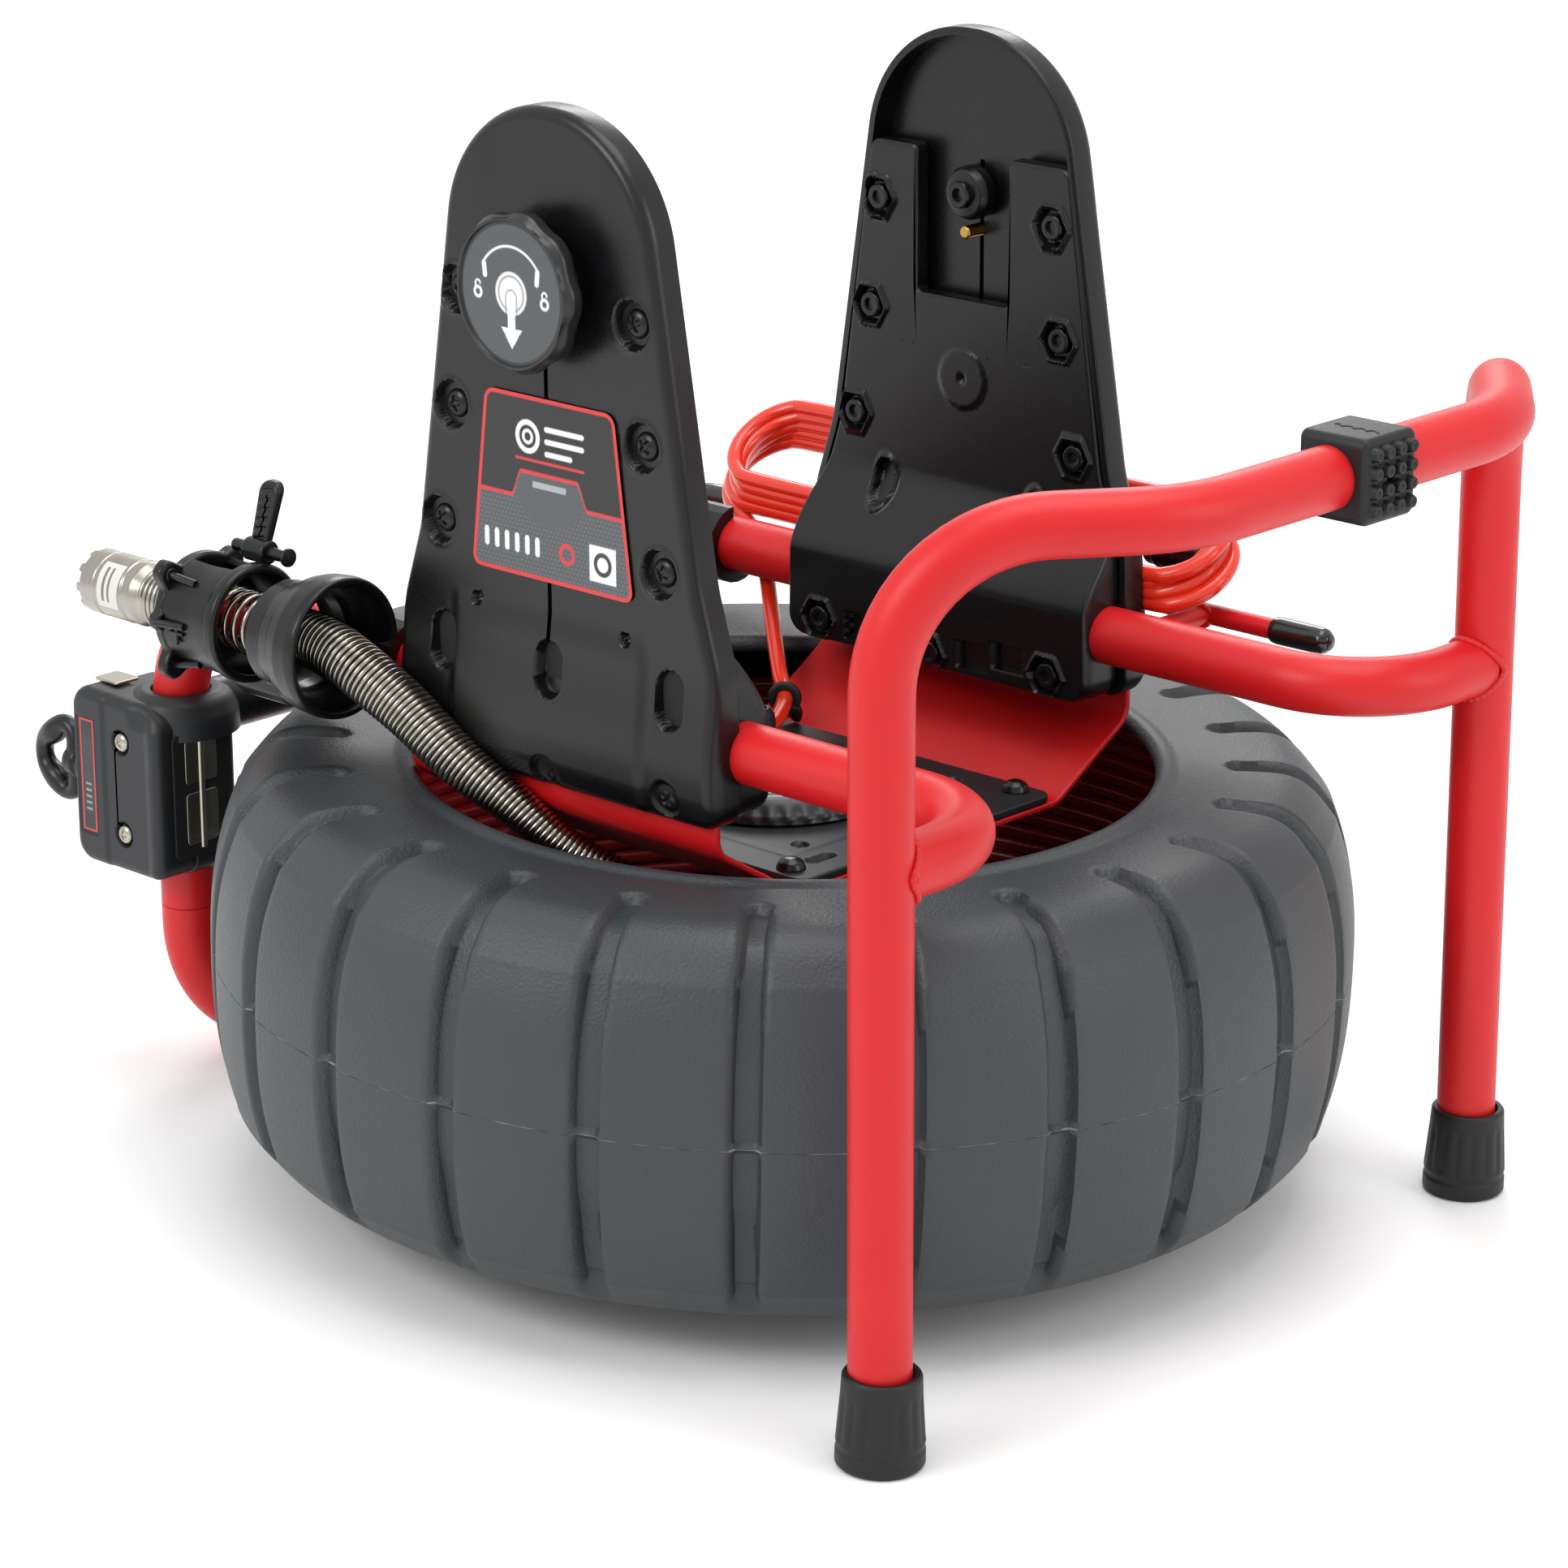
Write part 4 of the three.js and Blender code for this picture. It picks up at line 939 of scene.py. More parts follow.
# Head: a turned barrel with a notched mouth, r(h, a); the mouth dips between the teeth by 2 mm.
def makeHead(spec):
    r = spec["radius"]
    corners = [
        (0, 3.4), (8.2, 3.4), (8.6, 3.0), (9.4, 1.6), (10.4, 0), (r - 0.2, 0), (r, 1.2), (r, 9.5), (r - 0.35, 9.9),
        (r - 0.35, 10.9), (r, 11.3), (r, 25.4), (r - 0.5, 25.9), (r - 0.5, 27.1), (r, 27.6), (r, 31), (r - 1, 33),
        (r - 2.6, 36), (0, 36),
    ]
    profile = filleted(corners, [0.25] * len(corners), step=0.35)

    def notch(rr, h, a):
        tooth = smoothStep(0.15, 0.35, np.cos(spec["notches"] * a))
        mouth = (h < 2.2) & (rr > 10.0)
        return rr, np.where(mouth, h + (2.2 - h) * 0.92 * (1 - tooth), h)

    v, f = turned(profile, (0, 0, 0), "x", 300, notch)
    v = raked(v + np.array([spec["x0"], spec["y"], spec["z"]]))
    addPiece("cameraHead", v, f, finish["turnedSteel"], "frame", ["camera_head"], smooth=30)
    rings = turned(
        filleted([(0, -0.3), (7.4, -0.3), (7.9, -0.8), (8.15, 0.6)], [0, 0.2, 0.2, 0], step=0.3), (0, 0, 0),
        "x", 96,
    )
    v = raked(rings[0] + np.array([spec["x0"] + 3.3, spec["y"], spec["z"]]))
    addPiece("cameraWindow", v, rings[1], finish["vinyl"], "frame")


makeHead(cameraHead)


# Mark on the barrel: a patch of the cylinder, p(a, h) = r (cos a, sin a) along h, with painted edges.
def barrelPatch(name, spec, arc, reach, paint):
    a = np.radians(np.linspace(arc[0], arc[1], 90))[:, None] * np.ones(50)
    h = np.linspace(reach[0], reach[1], 50)[None, :] * np.ones((90, 1))
    r = spec["radius"] + 0.06
    verts = np.stack([spec["x0"] + h, spec["y"] + r * np.cos(a), spec["z"] + r * np.sin(a)], -1)
    u, v = np.meshgrid(np.linspace(0, 1, 90), np.linspace(0, 1, 50), indexing="ij")
    addPiece(
        name, raked(verts), gridFaces(90, 50, closeCols=False), finish["print"],
        ink=paint(u, v).reshape(-1, 3),
    )


def blended(base, colour, mask):
    return base + (np.array(linear(colour)[:3]) - base) * np.clip(mask, 0, 1)[..., None]


def yellowMark(u, v):
    base = np.ones(u.shape + (3,)) * np.array(linear("#E3C713")[:3])
    edge = np.minimum(np.minimum(u, 1 - u), np.minimum(v, 1 - v))
    base = blended(base, "#2B2B26", (edge < 0.05) * 1.0)
    return blended(
        base, "#3A3A30", ((np.hypot(u - 0.5, v - 0.5) < 0.22) & (np.hypot(u - 0.5, v - 0.5) > 0.13)) * 1.0,
    )


def greyMark(u, v):
    base = np.ones(u.shape + (3,)) * np.array(linear("#C9C7C1")[:3])
    bars = (np.abs(v - 0.3) < 0.06) | (np.abs(v - 0.55) < 0.06)
    return blended(base, "#6B6A66", (bars & (u > 0.12) & (u < 0.86)) * 1.0)


barrelPatch("cameraYellowMark", cameraHead, (232, 268), (12.2, 24.6), yellowMark)
barrelPatch("cameraGreyMark", cameraHead, (120, 205), (12.4, 24.4), greyMark)
print("springs and camera head made")


# Arms: two moulded plates each, screwed together.

arm = {
    "outline": [
        (83.5, 178), (82.5, 234), (73.5, 264), (46.5, 425.5), (-43, 425.5), (-68.5, 264), (-78.5, 234),
        (-79.5, 178),
    ],
    "radii": [9, 45, 60, 52, 50, 60, 45, 9],
    "face": 118.0,
    "thickness": 12.6,
    "spine": (0, 2, 222, 374),
    "screws": [(44, 355), (-44, 355), (48, 312), (-48, 312), (56, 268), (-56, 268)],
    "ovals": [(-54, 223), (1.5, 223), (61, 223)],
    "holes": [(-37, 242), (39, 241)],
    "footScrews": [(60, 187), (0, 184), (-58, 187)],
    "pitRadius": 8.0,
    "pitDepth": 4.4,
}


# Outer face: pits for the screws and slots, a flared skirt below the knee and a raised middle panel on it.
def outerCarve(x, z):
    depth = -3.2 * smoothStep(236, 196, z) * (1 - 0.75 * smoothStep(190, 178, z))
    panel = smoothStep(52, 46, np.abs(x)) * smoothStep(246, 232, z)
    depth = depth - 1.3 * panel + 0.9 * smoothStep(250, 256, z) * smoothStep(410, 396, z) * 0
    ridge = np.abs(np.abs(x) - 49)
    depth = depth + 0.5 * np.exp(-((ridge / 2.0) ** 2)) * smoothStep(246, 232, z)
    for at in arm["screws"]:
        depth = depth + roundPit(x, z, at, arm["pitRadius"], arm["pitDepth"], 0.9)
        rim = np.abs(np.hypot(x - at[0], z - at[1]) - arm["pitRadius"] - 1.4)
        depth = depth - 0.35 * np.exp(-((rim / 0.8) ** 2))
    for at in arm["footScrews"]:
        depth = depth + roundPit(x, z, at, 6.4, 1.8, 0.8)
    for at in arm["holes"]:
        depth = depth + roundPit(x, z, at, 2.3, 3.5, 0.6)
    for at in arm["ovals"]:
        depth = depth + ovalPit(x, z, at, (6.2, 10.2), 5.2, 0.7)
    web = smoothStep(430, 396, z) * smoothStep(352, 372, z) * smoothStep(18, 34, np.abs(x))
    return depth - 0.4 * web


inner = {
    "outline": [
        (79.5, 178), (78.5, 234), (69, 264), (52.5, 378), (22, 378), (22, 321), (-24, 321), (-24, 378),
        (-48, 378), (-64.5, 264), (-74.5, 234), (-75.5, 178),
    ],
    "radii": [9, 45, 60, 5, 3, 2, 2, 3, 5, 60, 45, 9],
    "spine": (-36, 36, 222, 300),
    "heart": (0, 0, 222, 300),
    "face": 105.0,
    "nuts": [
        (44, 355), (-44, 355), (48, 312), (-48, 312), (56, 268), (-56, 268), (60, 187), (0, 184), (-58, 187),
    ],
    "slots": [(-39, 243), (38, 243)],
    "cutouts": [(-36, 187), (22, 187), (40, 190)],
}


# Inner face: flat above the knee, sloping inwards below it; raised hexagon rims round the nuts, a shallow boss,
# and three latch cut-outs.
def innerCarve(x, z):
    depth = -19.0 * smoothStep(250, 212, z)
    for at in inner["nuts"]:
        h = hexDistance(x - at[0], z - at[1])
        depth = depth + 2.6 * (1 - smoothStep(6.1, 6.8, h)) - 1.5 * np.exp(-(((h - 7.7) / 0.75) ** 4))
    for at in inner["slots"]:
        depth = depth + ovalPit(x, z, at, (4.6, 8.4), 3.4, 0.5)
        depth = depth - 1.2 * np.exp(-(((np.hypot(x - at[0], (z - at[1]) * 0.62) - 6.2) / 0.8) ** 4))
    d = np.hypot(x, z - 290)
    depth = depth - 0.9 * (1 - smoothStep(11.2, 12.0, d)) + 1.2 * (1 - smoothStep(1.2, 2.0, d))
    for k, at in enumerate(inner["cutouts"]):
        box = np.maximum(np.abs(x - at[0]) / 8.0, np.abs(z - at[1]) / 5.6)
        step = (x - at[0] > 0) & (z - at[1] > 0) & (k != 1)
        depth = depth + 3.6 * (1 - smoothStep(0.88, 1.0, box)) * np.where(step, 0.35, 1)
    return depth


def makeArms():
    outline = filleted(arm["outline"], arm["radii"], step=1.0, closed=True, arcStep=0.05)
    innerLine = filleted(inner["outline"], inner["radii"], step=1.0, closed=True, arcStep=0.05)
    for side, sign in (("near", -1), ("far", 1)):
        v, f = reliefPlate(
            outline, arm["spine"], sign * arm["face"], arm["thickness"], sign, outerCarve, 4.2, 1.0, 104, rim=(3.2, 9.2)
        )
        addPiece(
            side + "ArmOuterShell",
            raked(v),
            f,
            finish["blackPlastic"],
            "frame",
            [side + "_arm_outer_shell"],
            smooth=50,
        )
        v, f = reliefPlate(
            innerLine, inner["spine"], sign * inner["face"], 6.7, -sign, innerCarve, 1.6, 0.6, 70,
            heart=inner["heart"],
        )
        addPiece(
            side + "ArmInnerCover",
            raked(v),
            f,
            finish["blackPlastic"],
            "frame",
            [side + "_arm_inner_cover"],
            smooth=50,
        )


makeArms()


# Pan-head screw: a turned dome of height 0.62 R with a crossed recess, h = dome(r) - cross(u, v).
def screwHead(radius, crossDepth=1.3, sides=56):
    q = np.linspace(0, math.pi / 2, 9)
    dome = [(radius * math.sin(t), 0.62 * radius * math.cos(t) ** 0.8 if t < 1.57 else 0) for t in q]
    prof = smoothPath(np.array([(0.01, 0.62 * radius)] + dome[1:] + [(radius, -0.8)]), radius / 26)

    def cross(r, h, a):
        u, v = np.abs(r * np.cos(a)), np.abs(r * np.sin(a))
        bar = np.minimum(u, v)
        reach = np.maximum(u, v)
        cut = (1 - smoothStep(
            0.09 * radius, 0.2 * radius, bar,
        )) * (1 - smoothStep(0.42 * radius, 0.58 * radius, reach))
        return r, h - crossDepth * cut

    v, f = turned(prof, (0, 0, 0), "z", sides, cross)
    return v, f


def facing(verts, normal, at, spin=0.0):
    n = unit(np.asarray(normal, float))
    reference = np.array([0, 0, 1.0]) if abs(n[2]) < 0.9 else np.array([1.0, 0, 0])
    u = unit(np.cross(reference, n))
    w = np.cross(n, u)
    c, s = math.cos(spin), math.sin(spin)
    x, y = verts[:, 0] * c - verts[:, 1] * s, verts[:, 0] * s + verts[:, 1] * c
    return x[:, None] * u + y[:, None] * w + verts[:, 2:3] * n + np.asarray(at, float)


def hexNut(across, height, bore):
    corners = [
        (0.01, height * 0.4), (bore, height * 0.4), (bore, height), (across * 0.46, height), (
            across * 0.53, height * 0.78,
        ),
        (across * 0.55, 0),
    ]
    prof = filleted(corners, [0, 0.2, 0.2, 0.3, 0.3, 0], step=0.4)

    def flats(r, h, a):
        sixth = math.pi / 3
        edge = np.cos((a % sixth) - sixth / 2)
        return np.where(r > bore + 0.3, np.minimum(r, 0.5 * across / edge), r), h

    return turned(prof, (0, 0, 0), "z", 72, flats)


def makeArmScrews():
    for side, sign in (("near", -1), ("far", 1)):
        heads, nuts = [], []
        for k, at in enumerate(arm["screws"]):
            v, f = screwHead(5.5)
            heads.append((facing(v, (0, sign, 0), (at[0], sign * 113.7, at[1]), 0.4 + k), f))
        for k, at in enumerate(arm["footScrews"]):
            v, f = screwHead(4.8, 1.0)
            heads.append((facing(v, (0, sign, 0), (at[0], sign * 116.9, at[1]), 0.9 + k), f))
        v, f = joined(heads)
        addPiece(side + "ArmScrews", raked(v), f, finish["blackScrew"], "frame")
        for k, at in enumerate(inner["nuts"]):
            low = at[1] < 230
            y = 105.0 - (19.0 if low else 0) + 1.8
            v, f = hexNut(9.6, 2.4, 2.4)
            nuts.append((facing(v, (0, -sign, 0), (at[0], sign * y, at[1]), 0.2 * k), f))
        v, f = joined(nuts)
        addPiece(side + "ArmNuts", raked(v), f, finish["blackScrew"], "frame")


makeArmScrews()


slotShadePlate = {"radius": 6.6, "stretch": 4.0, "faceY": 115.4, "backY": 113.0, "sides": 60}


# Painted shade in the slots: p(q) is a circle pulled apart along z, made as near-black plates a little below the face
# that stand in for the shadow in each slot, so that each slot reads as an opening.
def makeSlotShades():
    radius, sides = slotShadePlate["radius"], slotShadePlate["sides"]
    for side, sign in (("near", -1), ("far", 1)):
        parts = []
        for at in arm["ovals"]:
            q = np.linspace(0, 2 * math.pi, sides, endpoint=False)
            x = at[0] + radius * np.cos(q)
            z = at[1] + radius * np.sin(q) + slotShadePlate["stretch"] * np.sign(np.sin(q)) * (np.abs(np.sin(q)) > 1e-6)
            ring = np.stack([np.stack(
                [x, x * 0 + sign * y, z], -1,
            ) for y in (slotShadePlate["faceY"], slotShadePlate["backY"])])
            faces = gridFaces(2, sides).tolist() + [list(range(sides)), list(range(sides, 2 * sides))]
            parts.append((ring.reshape(-1, 3), faces))
        v, f = joined(parts)
        addPiece(side + "ArmSlotShadePlates", raked(v), f, finish["shadowBlack"], "frame")


makeSlotShades()
print("arms made")

knob = {"z": 362.0, "outer": 29.0, "faceR": 25.4, "back": 118.3, "front": 134.0, "lobes": 9, "scale": 1.44}


def lineMask(distance, half, soft=0.22):
    return 1 - smoothStep(half - soft, half + soft, distance)


def segment(x, z, a, b):
    a, b = np.array(a, float), np.array(b, float)
    t = np.clip(((x - a[0]) * (b[0] - a[0]) + (z - a[1]) * (b[1] - a[1])) / np.sum((b - a) ** 2), 0, 1)
    return np.hypot(x - a[0] - t * (b[0] - a[0]), z - a[1] - t * (b[1] - a[1]))


# Small padlock drawing: a ring for the body, a hook above it.
def lockMask(x, z, at, size):
    u, v = (x - at[0]) / size, (z - at[1]) / size
    body = lineMask(np.abs(np.hypot(u, v) - 0.62), 0.2, 0.08)
    hook = lineMask(np.abs(np.hypot(u, v - 1.1) - 0.42), 0.12, 0.06) * (v > 1.0)
    return np.clip(body + hook + lineMask(segment(u, v, (-0.42, 0.6), (-0.42, 1.1)), 0.12, 0.06), 0, 1)


# Knob face: a dark disc with an arc of turn, two padlocks and an arrow pointing down.
def knobInk(x, z):
    r, a = np.hypot(x, z), np.degrees(np.arctan2(z, x))
    ink = np.ones(x.shape + (3,)) * np.array(linear("#1B1C1E")[:3])
    ink = blended(ink, "#45484B", 1 - smoothStep(16.7, 17.1, r))
    arc = lineMask(np.abs(r - 11.6), 0.28) * (a > 38) * (a < 142)
    for sx in (-1, 1):
        tip = segment(x, z, (sx * 9.4, 6.9), (sx * 9.0, 4.2))
        arc = np.maximum(
            arc, lineMask(tip, 0.3) + lineMask(segment(x, z, (sx * 9.3, 6.4), (sx * 9.0, 3.6)), 0.7),
        )
        arc = np.maximum(arc, lockMask(x, z, (sx * 11.6, -1.0), 1.9))
    ring = lineMask(r - 0.0, 5.4) * 0.82
    arrow = lineMask(segment(x, z, (0, -1), (0, -8.2)), 1.25)
    wing = (np.abs(x) < (z + 13.6) * 0.72) & (z > -13.6) & (z < -8.6)
    white = np.clip(arc + ring + arrow + wing, 0, 1)
    seam = lineMask(np.abs(r - 4.3), 0.25) + lineMask(
        np.abs(segment(x, z, (0, -1), (0, -9)) - 1.9), 0.2,
    ) * (r < 6)
    white = white * (1 - 0.7 * np.clip(seam, 0, 1) * (1 - arrow))
    return blended(ink, "#E8EAEA", white)


# Knob: r(h, a) turned, its rim drawn in by nine shallow finger lobes.
def makeKnobs(spec):
    depth = spec["front"] - spec["back"]
    corners = [
        (13, 0), (15, 6.2), (spec["outer"] - 3, 6.6), (spec["outer"], 8.2), (spec["outer"], depth - 3),
        (spec["faceR"] + 1.5, depth), (spec["faceR"] + 0.5, depth), (spec["faceR"], depth - 0.9),
    ]
    rim = filleted(corners, [0, 1.5, 1.0, 1.6, 2.4, 0.5, 0.3, 0], step=0.5)
    face = np.stack([np.linspace(25.4, 0, 100), np.full(100, depth - 0.9)], -1)[1:]
    prof = np.concatenate([rim, face])

    def lobes(r, h, a):
        pull = smoothStep(26.0, 28.4, r)
        return r - pull * 1.5 * (0.5 + 0.5 * np.cos(spec["lobes"] * a)) ** 1.5, h

    v, f = turned(prof, (0, 0, 0), "z", 320, lobes)
    ink = knobInk(-v[:, 0] / spec["scale"], v[:, 1] / spec["scale"])
    ink[: len(rim) * 320] = linear("#1B1C1E")[:3]
    for side, sign in (("near", -1), ("far", 1)):
        at = (0, sign * spec["back"], spec["z"])
        u = v * np.array([-1 if sign < 0 else 1, 1, 1]) if sign < 0 else v
        made = facing(u, (0, sign, 0), at)
        addPiece(
            side + "LatchKnob", raked(made), f, finish["print"], side + "_knob",
            [side + "_latch_knob"], ink=ink,
        )
        boss = filleted(
            [(0.01, 2.2), (2.2, 2.2), (2.2, 3.4), (4.0, 3.4), (9, 2.6), (10.4, 0), (10.4, -4)],
            [0, 0.3, 0.3, 0.5, 1, 1, 0], step=0.4,
        )
        bv, bf = turned(boss, (0, 0, 0), "z", 80)
        addPiece(
            side + "LatchCam", raked(facing(bv, (0, -sign, 0), (0, sign * 107.5, spec["z"]))), bf,
            finish["blackPlastic"], side + "_knob", [side + "_latch_cam"],
        )
        nv, nf = hexNut(10, 3.4, 2.6)
        pin = turned(
            filleted([(0.01, 3.2), (2.1, 3.2), (2.6, 2.6), (2.6, -6)], [0, 0.4, 0.4, 0], step=0.3),
            (0, 0, 0), "z", 40,
        )
        addPiece(
            side + "LatchNut", raked(facing(nv, (0, -sign, 0), (0, sign * 104.6, spec["z"]))), nf,
            finish["blackScrew"], side + "_knob",
        )
        addPiece(
            side + "LatchPin", raked(facing(pin[0], (0, -sign, 0), (0, sign * 108.6, 347))), pin[1],
            finish["brass"], side + "_knob",
        )


makeKnobs(knob)

label = {
    "centreX": 3.0, "z0": 255.0, "z1": 322.0, "halfLow": 41.0, "halfHigh": 32.5, "y": -118.85,
    "corner": 4.5, "rule": 1.5,
}


# Label: a film with a red rule, a black head, a grey foot of small hexagons and plain marks in place of
# lettering.
def labelInk(u, z, half):
    spec = label
    high = spec["z1"] - spec["z0"]
    v = z - spec["z0"]
    x = u * half
    dx, dz = half - np.abs(x), np.minimum(v, high - v)
    c = spec["corner"]
    roundPart = c - np.hypot(np.clip(c - dx, 0, None), np.clip(c - dz, 0, None))
    edge = np.where((dx < c) & (dz < c), roundPart, np.minimum(dx, dz))
    ink = np.ones(x.shape + (3,)) * np.array(linear("#161719")[:3])
    tall = 29.5
    notch = 9.5 * (1 - smoothStep(14, 19.5, np.abs(x + 0.5)))
    line = tall + notch
    hexSize = 1.9
    row = np.floor(v / (hexSize * 0.866))
    hx = (x + (row % 2) * hexSize / 2) % hexSize - hexSize / 2
    hz = v % (hexSize * 0.866) - hexSize * 0.433
    cell = hexDistance(hz, hx)
    grey = np.ones(x.shape + (3,)) * np.array(linear("#55585B")[:3])
    grey = blended(grey, "#37393C", smoothStep(hexSize * 0.36, hexSize * 0.48, cell))
    dome = smoothStep(0, 0.8, 17 - np.hypot(x + 0.5, (v - tall - 1.5) * 1.55)) * (v < line - 0.8)
    grey = blended(grey, "#4A4D50", dome)
    ink = np.where((v < line)[..., None], grey, ink)
    ink = blended(ink, "#C92B30", lineMask(np.abs(v - line), 0.7, 0.2))
    bar = (np.abs(x + 0.5) < 8.5) & (v > tall + 4.2) & (v < tall + 6.6)
    ink = blended(ink, "#9DA0A2", bar * 1.0)
    ring = lineMask(np.abs(np.hypot(x + 11, v - 52) - 5.2), 0.95)
    ring = np.maximum(ring, lineMask(np.abs(np.hypot(x + 11, v - 52) - 2.2), 0.6))
    stripes = np.zeros_like(x)
    for k, (z0, reach) in enumerate([(56, 18), (51.5, 18), (47, 12)]):
        stripes = np.maximum(stripes, lineMask(segment(x, v, (-1.5, z0), (reach - 1.5, z0)), 0.95))
    ink = blended(ink, "#E9EAEA", np.clip(ring + stripes, 0, 1))
    ink = blended(ink, "#C92B30", lineMask(segment(x, v, (-17, 43.6), (17, 43.6)), 0.5))
    foot = np.zeros_like(x)
    for k in range(6):
        foot = np.maximum(foot, lineMask(segment(x, v, (-33 + 5.2 * k, 9.5), (-33 + 5.2 * k, 14.5)), 1.1))
    ink = blended(ink, "#E9EAEA", foot)
    ink = blended(ink, "#C92B30", lineMask(np.abs(np.hypot(x - 8, v - 12) - 3.2), 0.8))
    square = np.maximum(np.abs(x - 26), np.abs(v - 11.5))
    ink = blended(ink, "#E9EAEA", lineMask(square, 6.6))
    ink = blended(ink, "#2B2D2F", lineMask(np.abs(np.hypot(x - 26, v - 11.5) - 3.6), 0.9))
    ink = blended(ink, "#C92B30", 1 - smoothStep(spec["rule"] - 0.2, spec["rule"] + 0.2, edge))
    return ink


def makeLabel(spec):
    rows, cols = 230, 280
    z = np.linspace(spec["z0"], spec["z1"], rows)[:, None] * np.ones(cols)
    u = np.linspace(-1, 1, cols)[None, :] * np.ones((rows, 1))
    t = (z - spec["z0"]) / (spec["z1"] - spec["z0"])
    half = spec["halfLow"] + (spec["halfHigh"] - spec["halfLow"]) * t
    c = spec["corner"]
    gap = np.minimum(z - spec["z0"], spec["z1"] - z)
    pull = np.where(gap < c, c - np.sqrt(np.clip(c**2 - (c - gap) ** 2, 0, None)), 0)
    x = spec["centreX"] + u * (half - pull)
    verts = np.stack([x, np.full_like(x, spec["y"]), z], -1)
    ink = labelInk(u * (half - pull) / half, z, half)
    addPiece(
        "nearArmLabel", raked(verts), gridFaces(rows, cols, closeCols=False), finish["print"], "frame",
        ["near_arm_label"], ink=ink.reshape(-1, 3),
    )


makeLabel(label)
print("knobs and label made")


# Hub: pressed red tray, black cover plate, lock ring.

plate = {
    "halfX": 79.0, "halfY": 69.5, "corner": 6.0, "z": 145.3, "thickness": 3.0,
    "holes": [(-50, 30), (-62, 10), (-38, 52), (50, -40), (62, -12), (58, 34), (40, 56), (-58, -28)],
    "slots": [(-66, 44), (66, -46), (-30, -58)],
    "rivets": [(-66, -62), (66, -62), (66, 62), (-66, 62)],
}


# Cover plate: the same relief surface laid flat, its face upwards, pierced by small holes and slots.
def plateCarve(x, y):
    depth = np.zeros_like(x)
    for at in plate["holes"]:
        depth = depth + roundPit(x, y, at, 3.0, 2.6, 0.45)
    for at in plate["slots"]:
        depth = depth + ovalPit(x, y, at, (2.6, 6.5), 2.6, 0.45)
    swage = np.abs(np.maximum(np.abs(x) / 1.04, np.abs(y) / 0.93) - 56)
    return depth + 0.35 * np.exp(-((swage / 1.6) ** 2))


def makeHubParts(spec):
    hx, hy, c = spec["halfX"], spec["halfY"], spec["corner"]
    outline = filleted(
        [(hx, -hy), (hx, hy), (-hx, hy), (-hx, -hy)], [c] * 4, step=1.1, closed=True, arcStep=0.15,
    )
    v, f = reliefPlate(outline, (-20, 20, -12, 12), 0, spec["thickness"], 1, plateCarve, 0.8, 0.5, 80)
    v = np.stack([v[:, 0], v[:, 2], spec["z"] + spec["thickness"] + v[:, 1]], -1)
    addPiece(
        "hubCoverPlate", raked(v), f, finish["greyPlastic"], "frame", ["hub_cover_plate"],
        smooth=50,
    )
    rivet = filleted(
        [(0.01, 4.2), (2.4, 4.0), (4.6, 2.6), (5.5, 0.4), (5.5, 0)], [0, 1.5, 1.5, 0.3, 0], step=0.4,
    )
    for k, (x, y) in enumerate(spec["rivets"]):
        v, f = turned(rivet, (0, 0, 0), "z", 56)
        at = (x, y, spec["z"] + spec["thickness"] + 0.05)
        addPiece(
            f"coverRivet{k + 1}", raked(v + at), f, finish["blackScrew"], "frame",
            [f"cover_rivet_{k + 1}"],
        )


makeHubParts(plate)

tray = {
    "halfX": 79.0, "fold": 72.0, "kneeY": 111.6, "top": 204.0, "kneeZ": 169.0, "floorZ": 143.8, "wall": 2.4,
}


# Tray: a folded strip; its section is a rounded line across y, carried along x, with eased ends.
def makeTray(spec):
    half = filleted(
        [
            (0, spec["floorZ"]), (spec["fold"], spec["floorZ"]), (spec["kneeY"] + 1.2, spec["kneeZ"]),
            (spec["kneeY"] + 1.2, spec["top"]),
        ],
        [0, 9, 9, 0],
        step=1.6,
    )
    line = np.concatenate([half[::-1] * np.array([-1, 1]), half[1:]])
    t = unit(np.gradient(line, axis=0))
    n = np.stack([-t[:, 1], t[:, 0]], -1) * spec["wall"] / 2
    ends = np.linspace(-1, 1, 46)
    parts = []
    x = ends[:, None] * spec["halfX"] * np.ones(len(line))
    top = np.stack(
        [x, (line + n)[None, :, 0] * np.ones_like(x), (line + n)[None, :, 1] * np.ones_like(x)], -1,
    )
    low = np.stack(
        [x, (line - n)[None, :, 0] * np.ones_like(x), (line - n)[None, :, 1] * np.ones_like(x)], -1,
    )
    m, k = x.shape
    parts.append((top.reshape(-1, 3), gridFaces(m, k, closeCols=False)))
    parts.append((low.reshape(-1, 3), gridFaces(m, k, closeCols=False)))
    for row in (0, m - 1):
        strip = np.stack([top[row], low[row]])
        parts.append((strip.reshape(-1, 3), gridFaces(2, k, closeCols=False)))
    for col in (0, k - 1):
        strip = np.stack([top[:, col], low[:, col]])
        parts.append((strip.reshape(-1, 3), gridFaces(2, m, closeCols=False)))
    v, f = joined(parts)
    made = addPiece(
        "hubTray", raked(v), f, finish["redPaint"], "frame", ["hub_tray"], smooth=40,
    )
    bevel = made.modifiers.new("easedEdge", "BEVEL")
    bevel.width, bevel.segments, bevel.limit_method = 0.0007, 2, "ANGLE"


makeTray(tray)

lock = {"inner": 13.3, "outer": 45.0, "topR": 40.0, "z0": 148.8, "z1": 157.6}


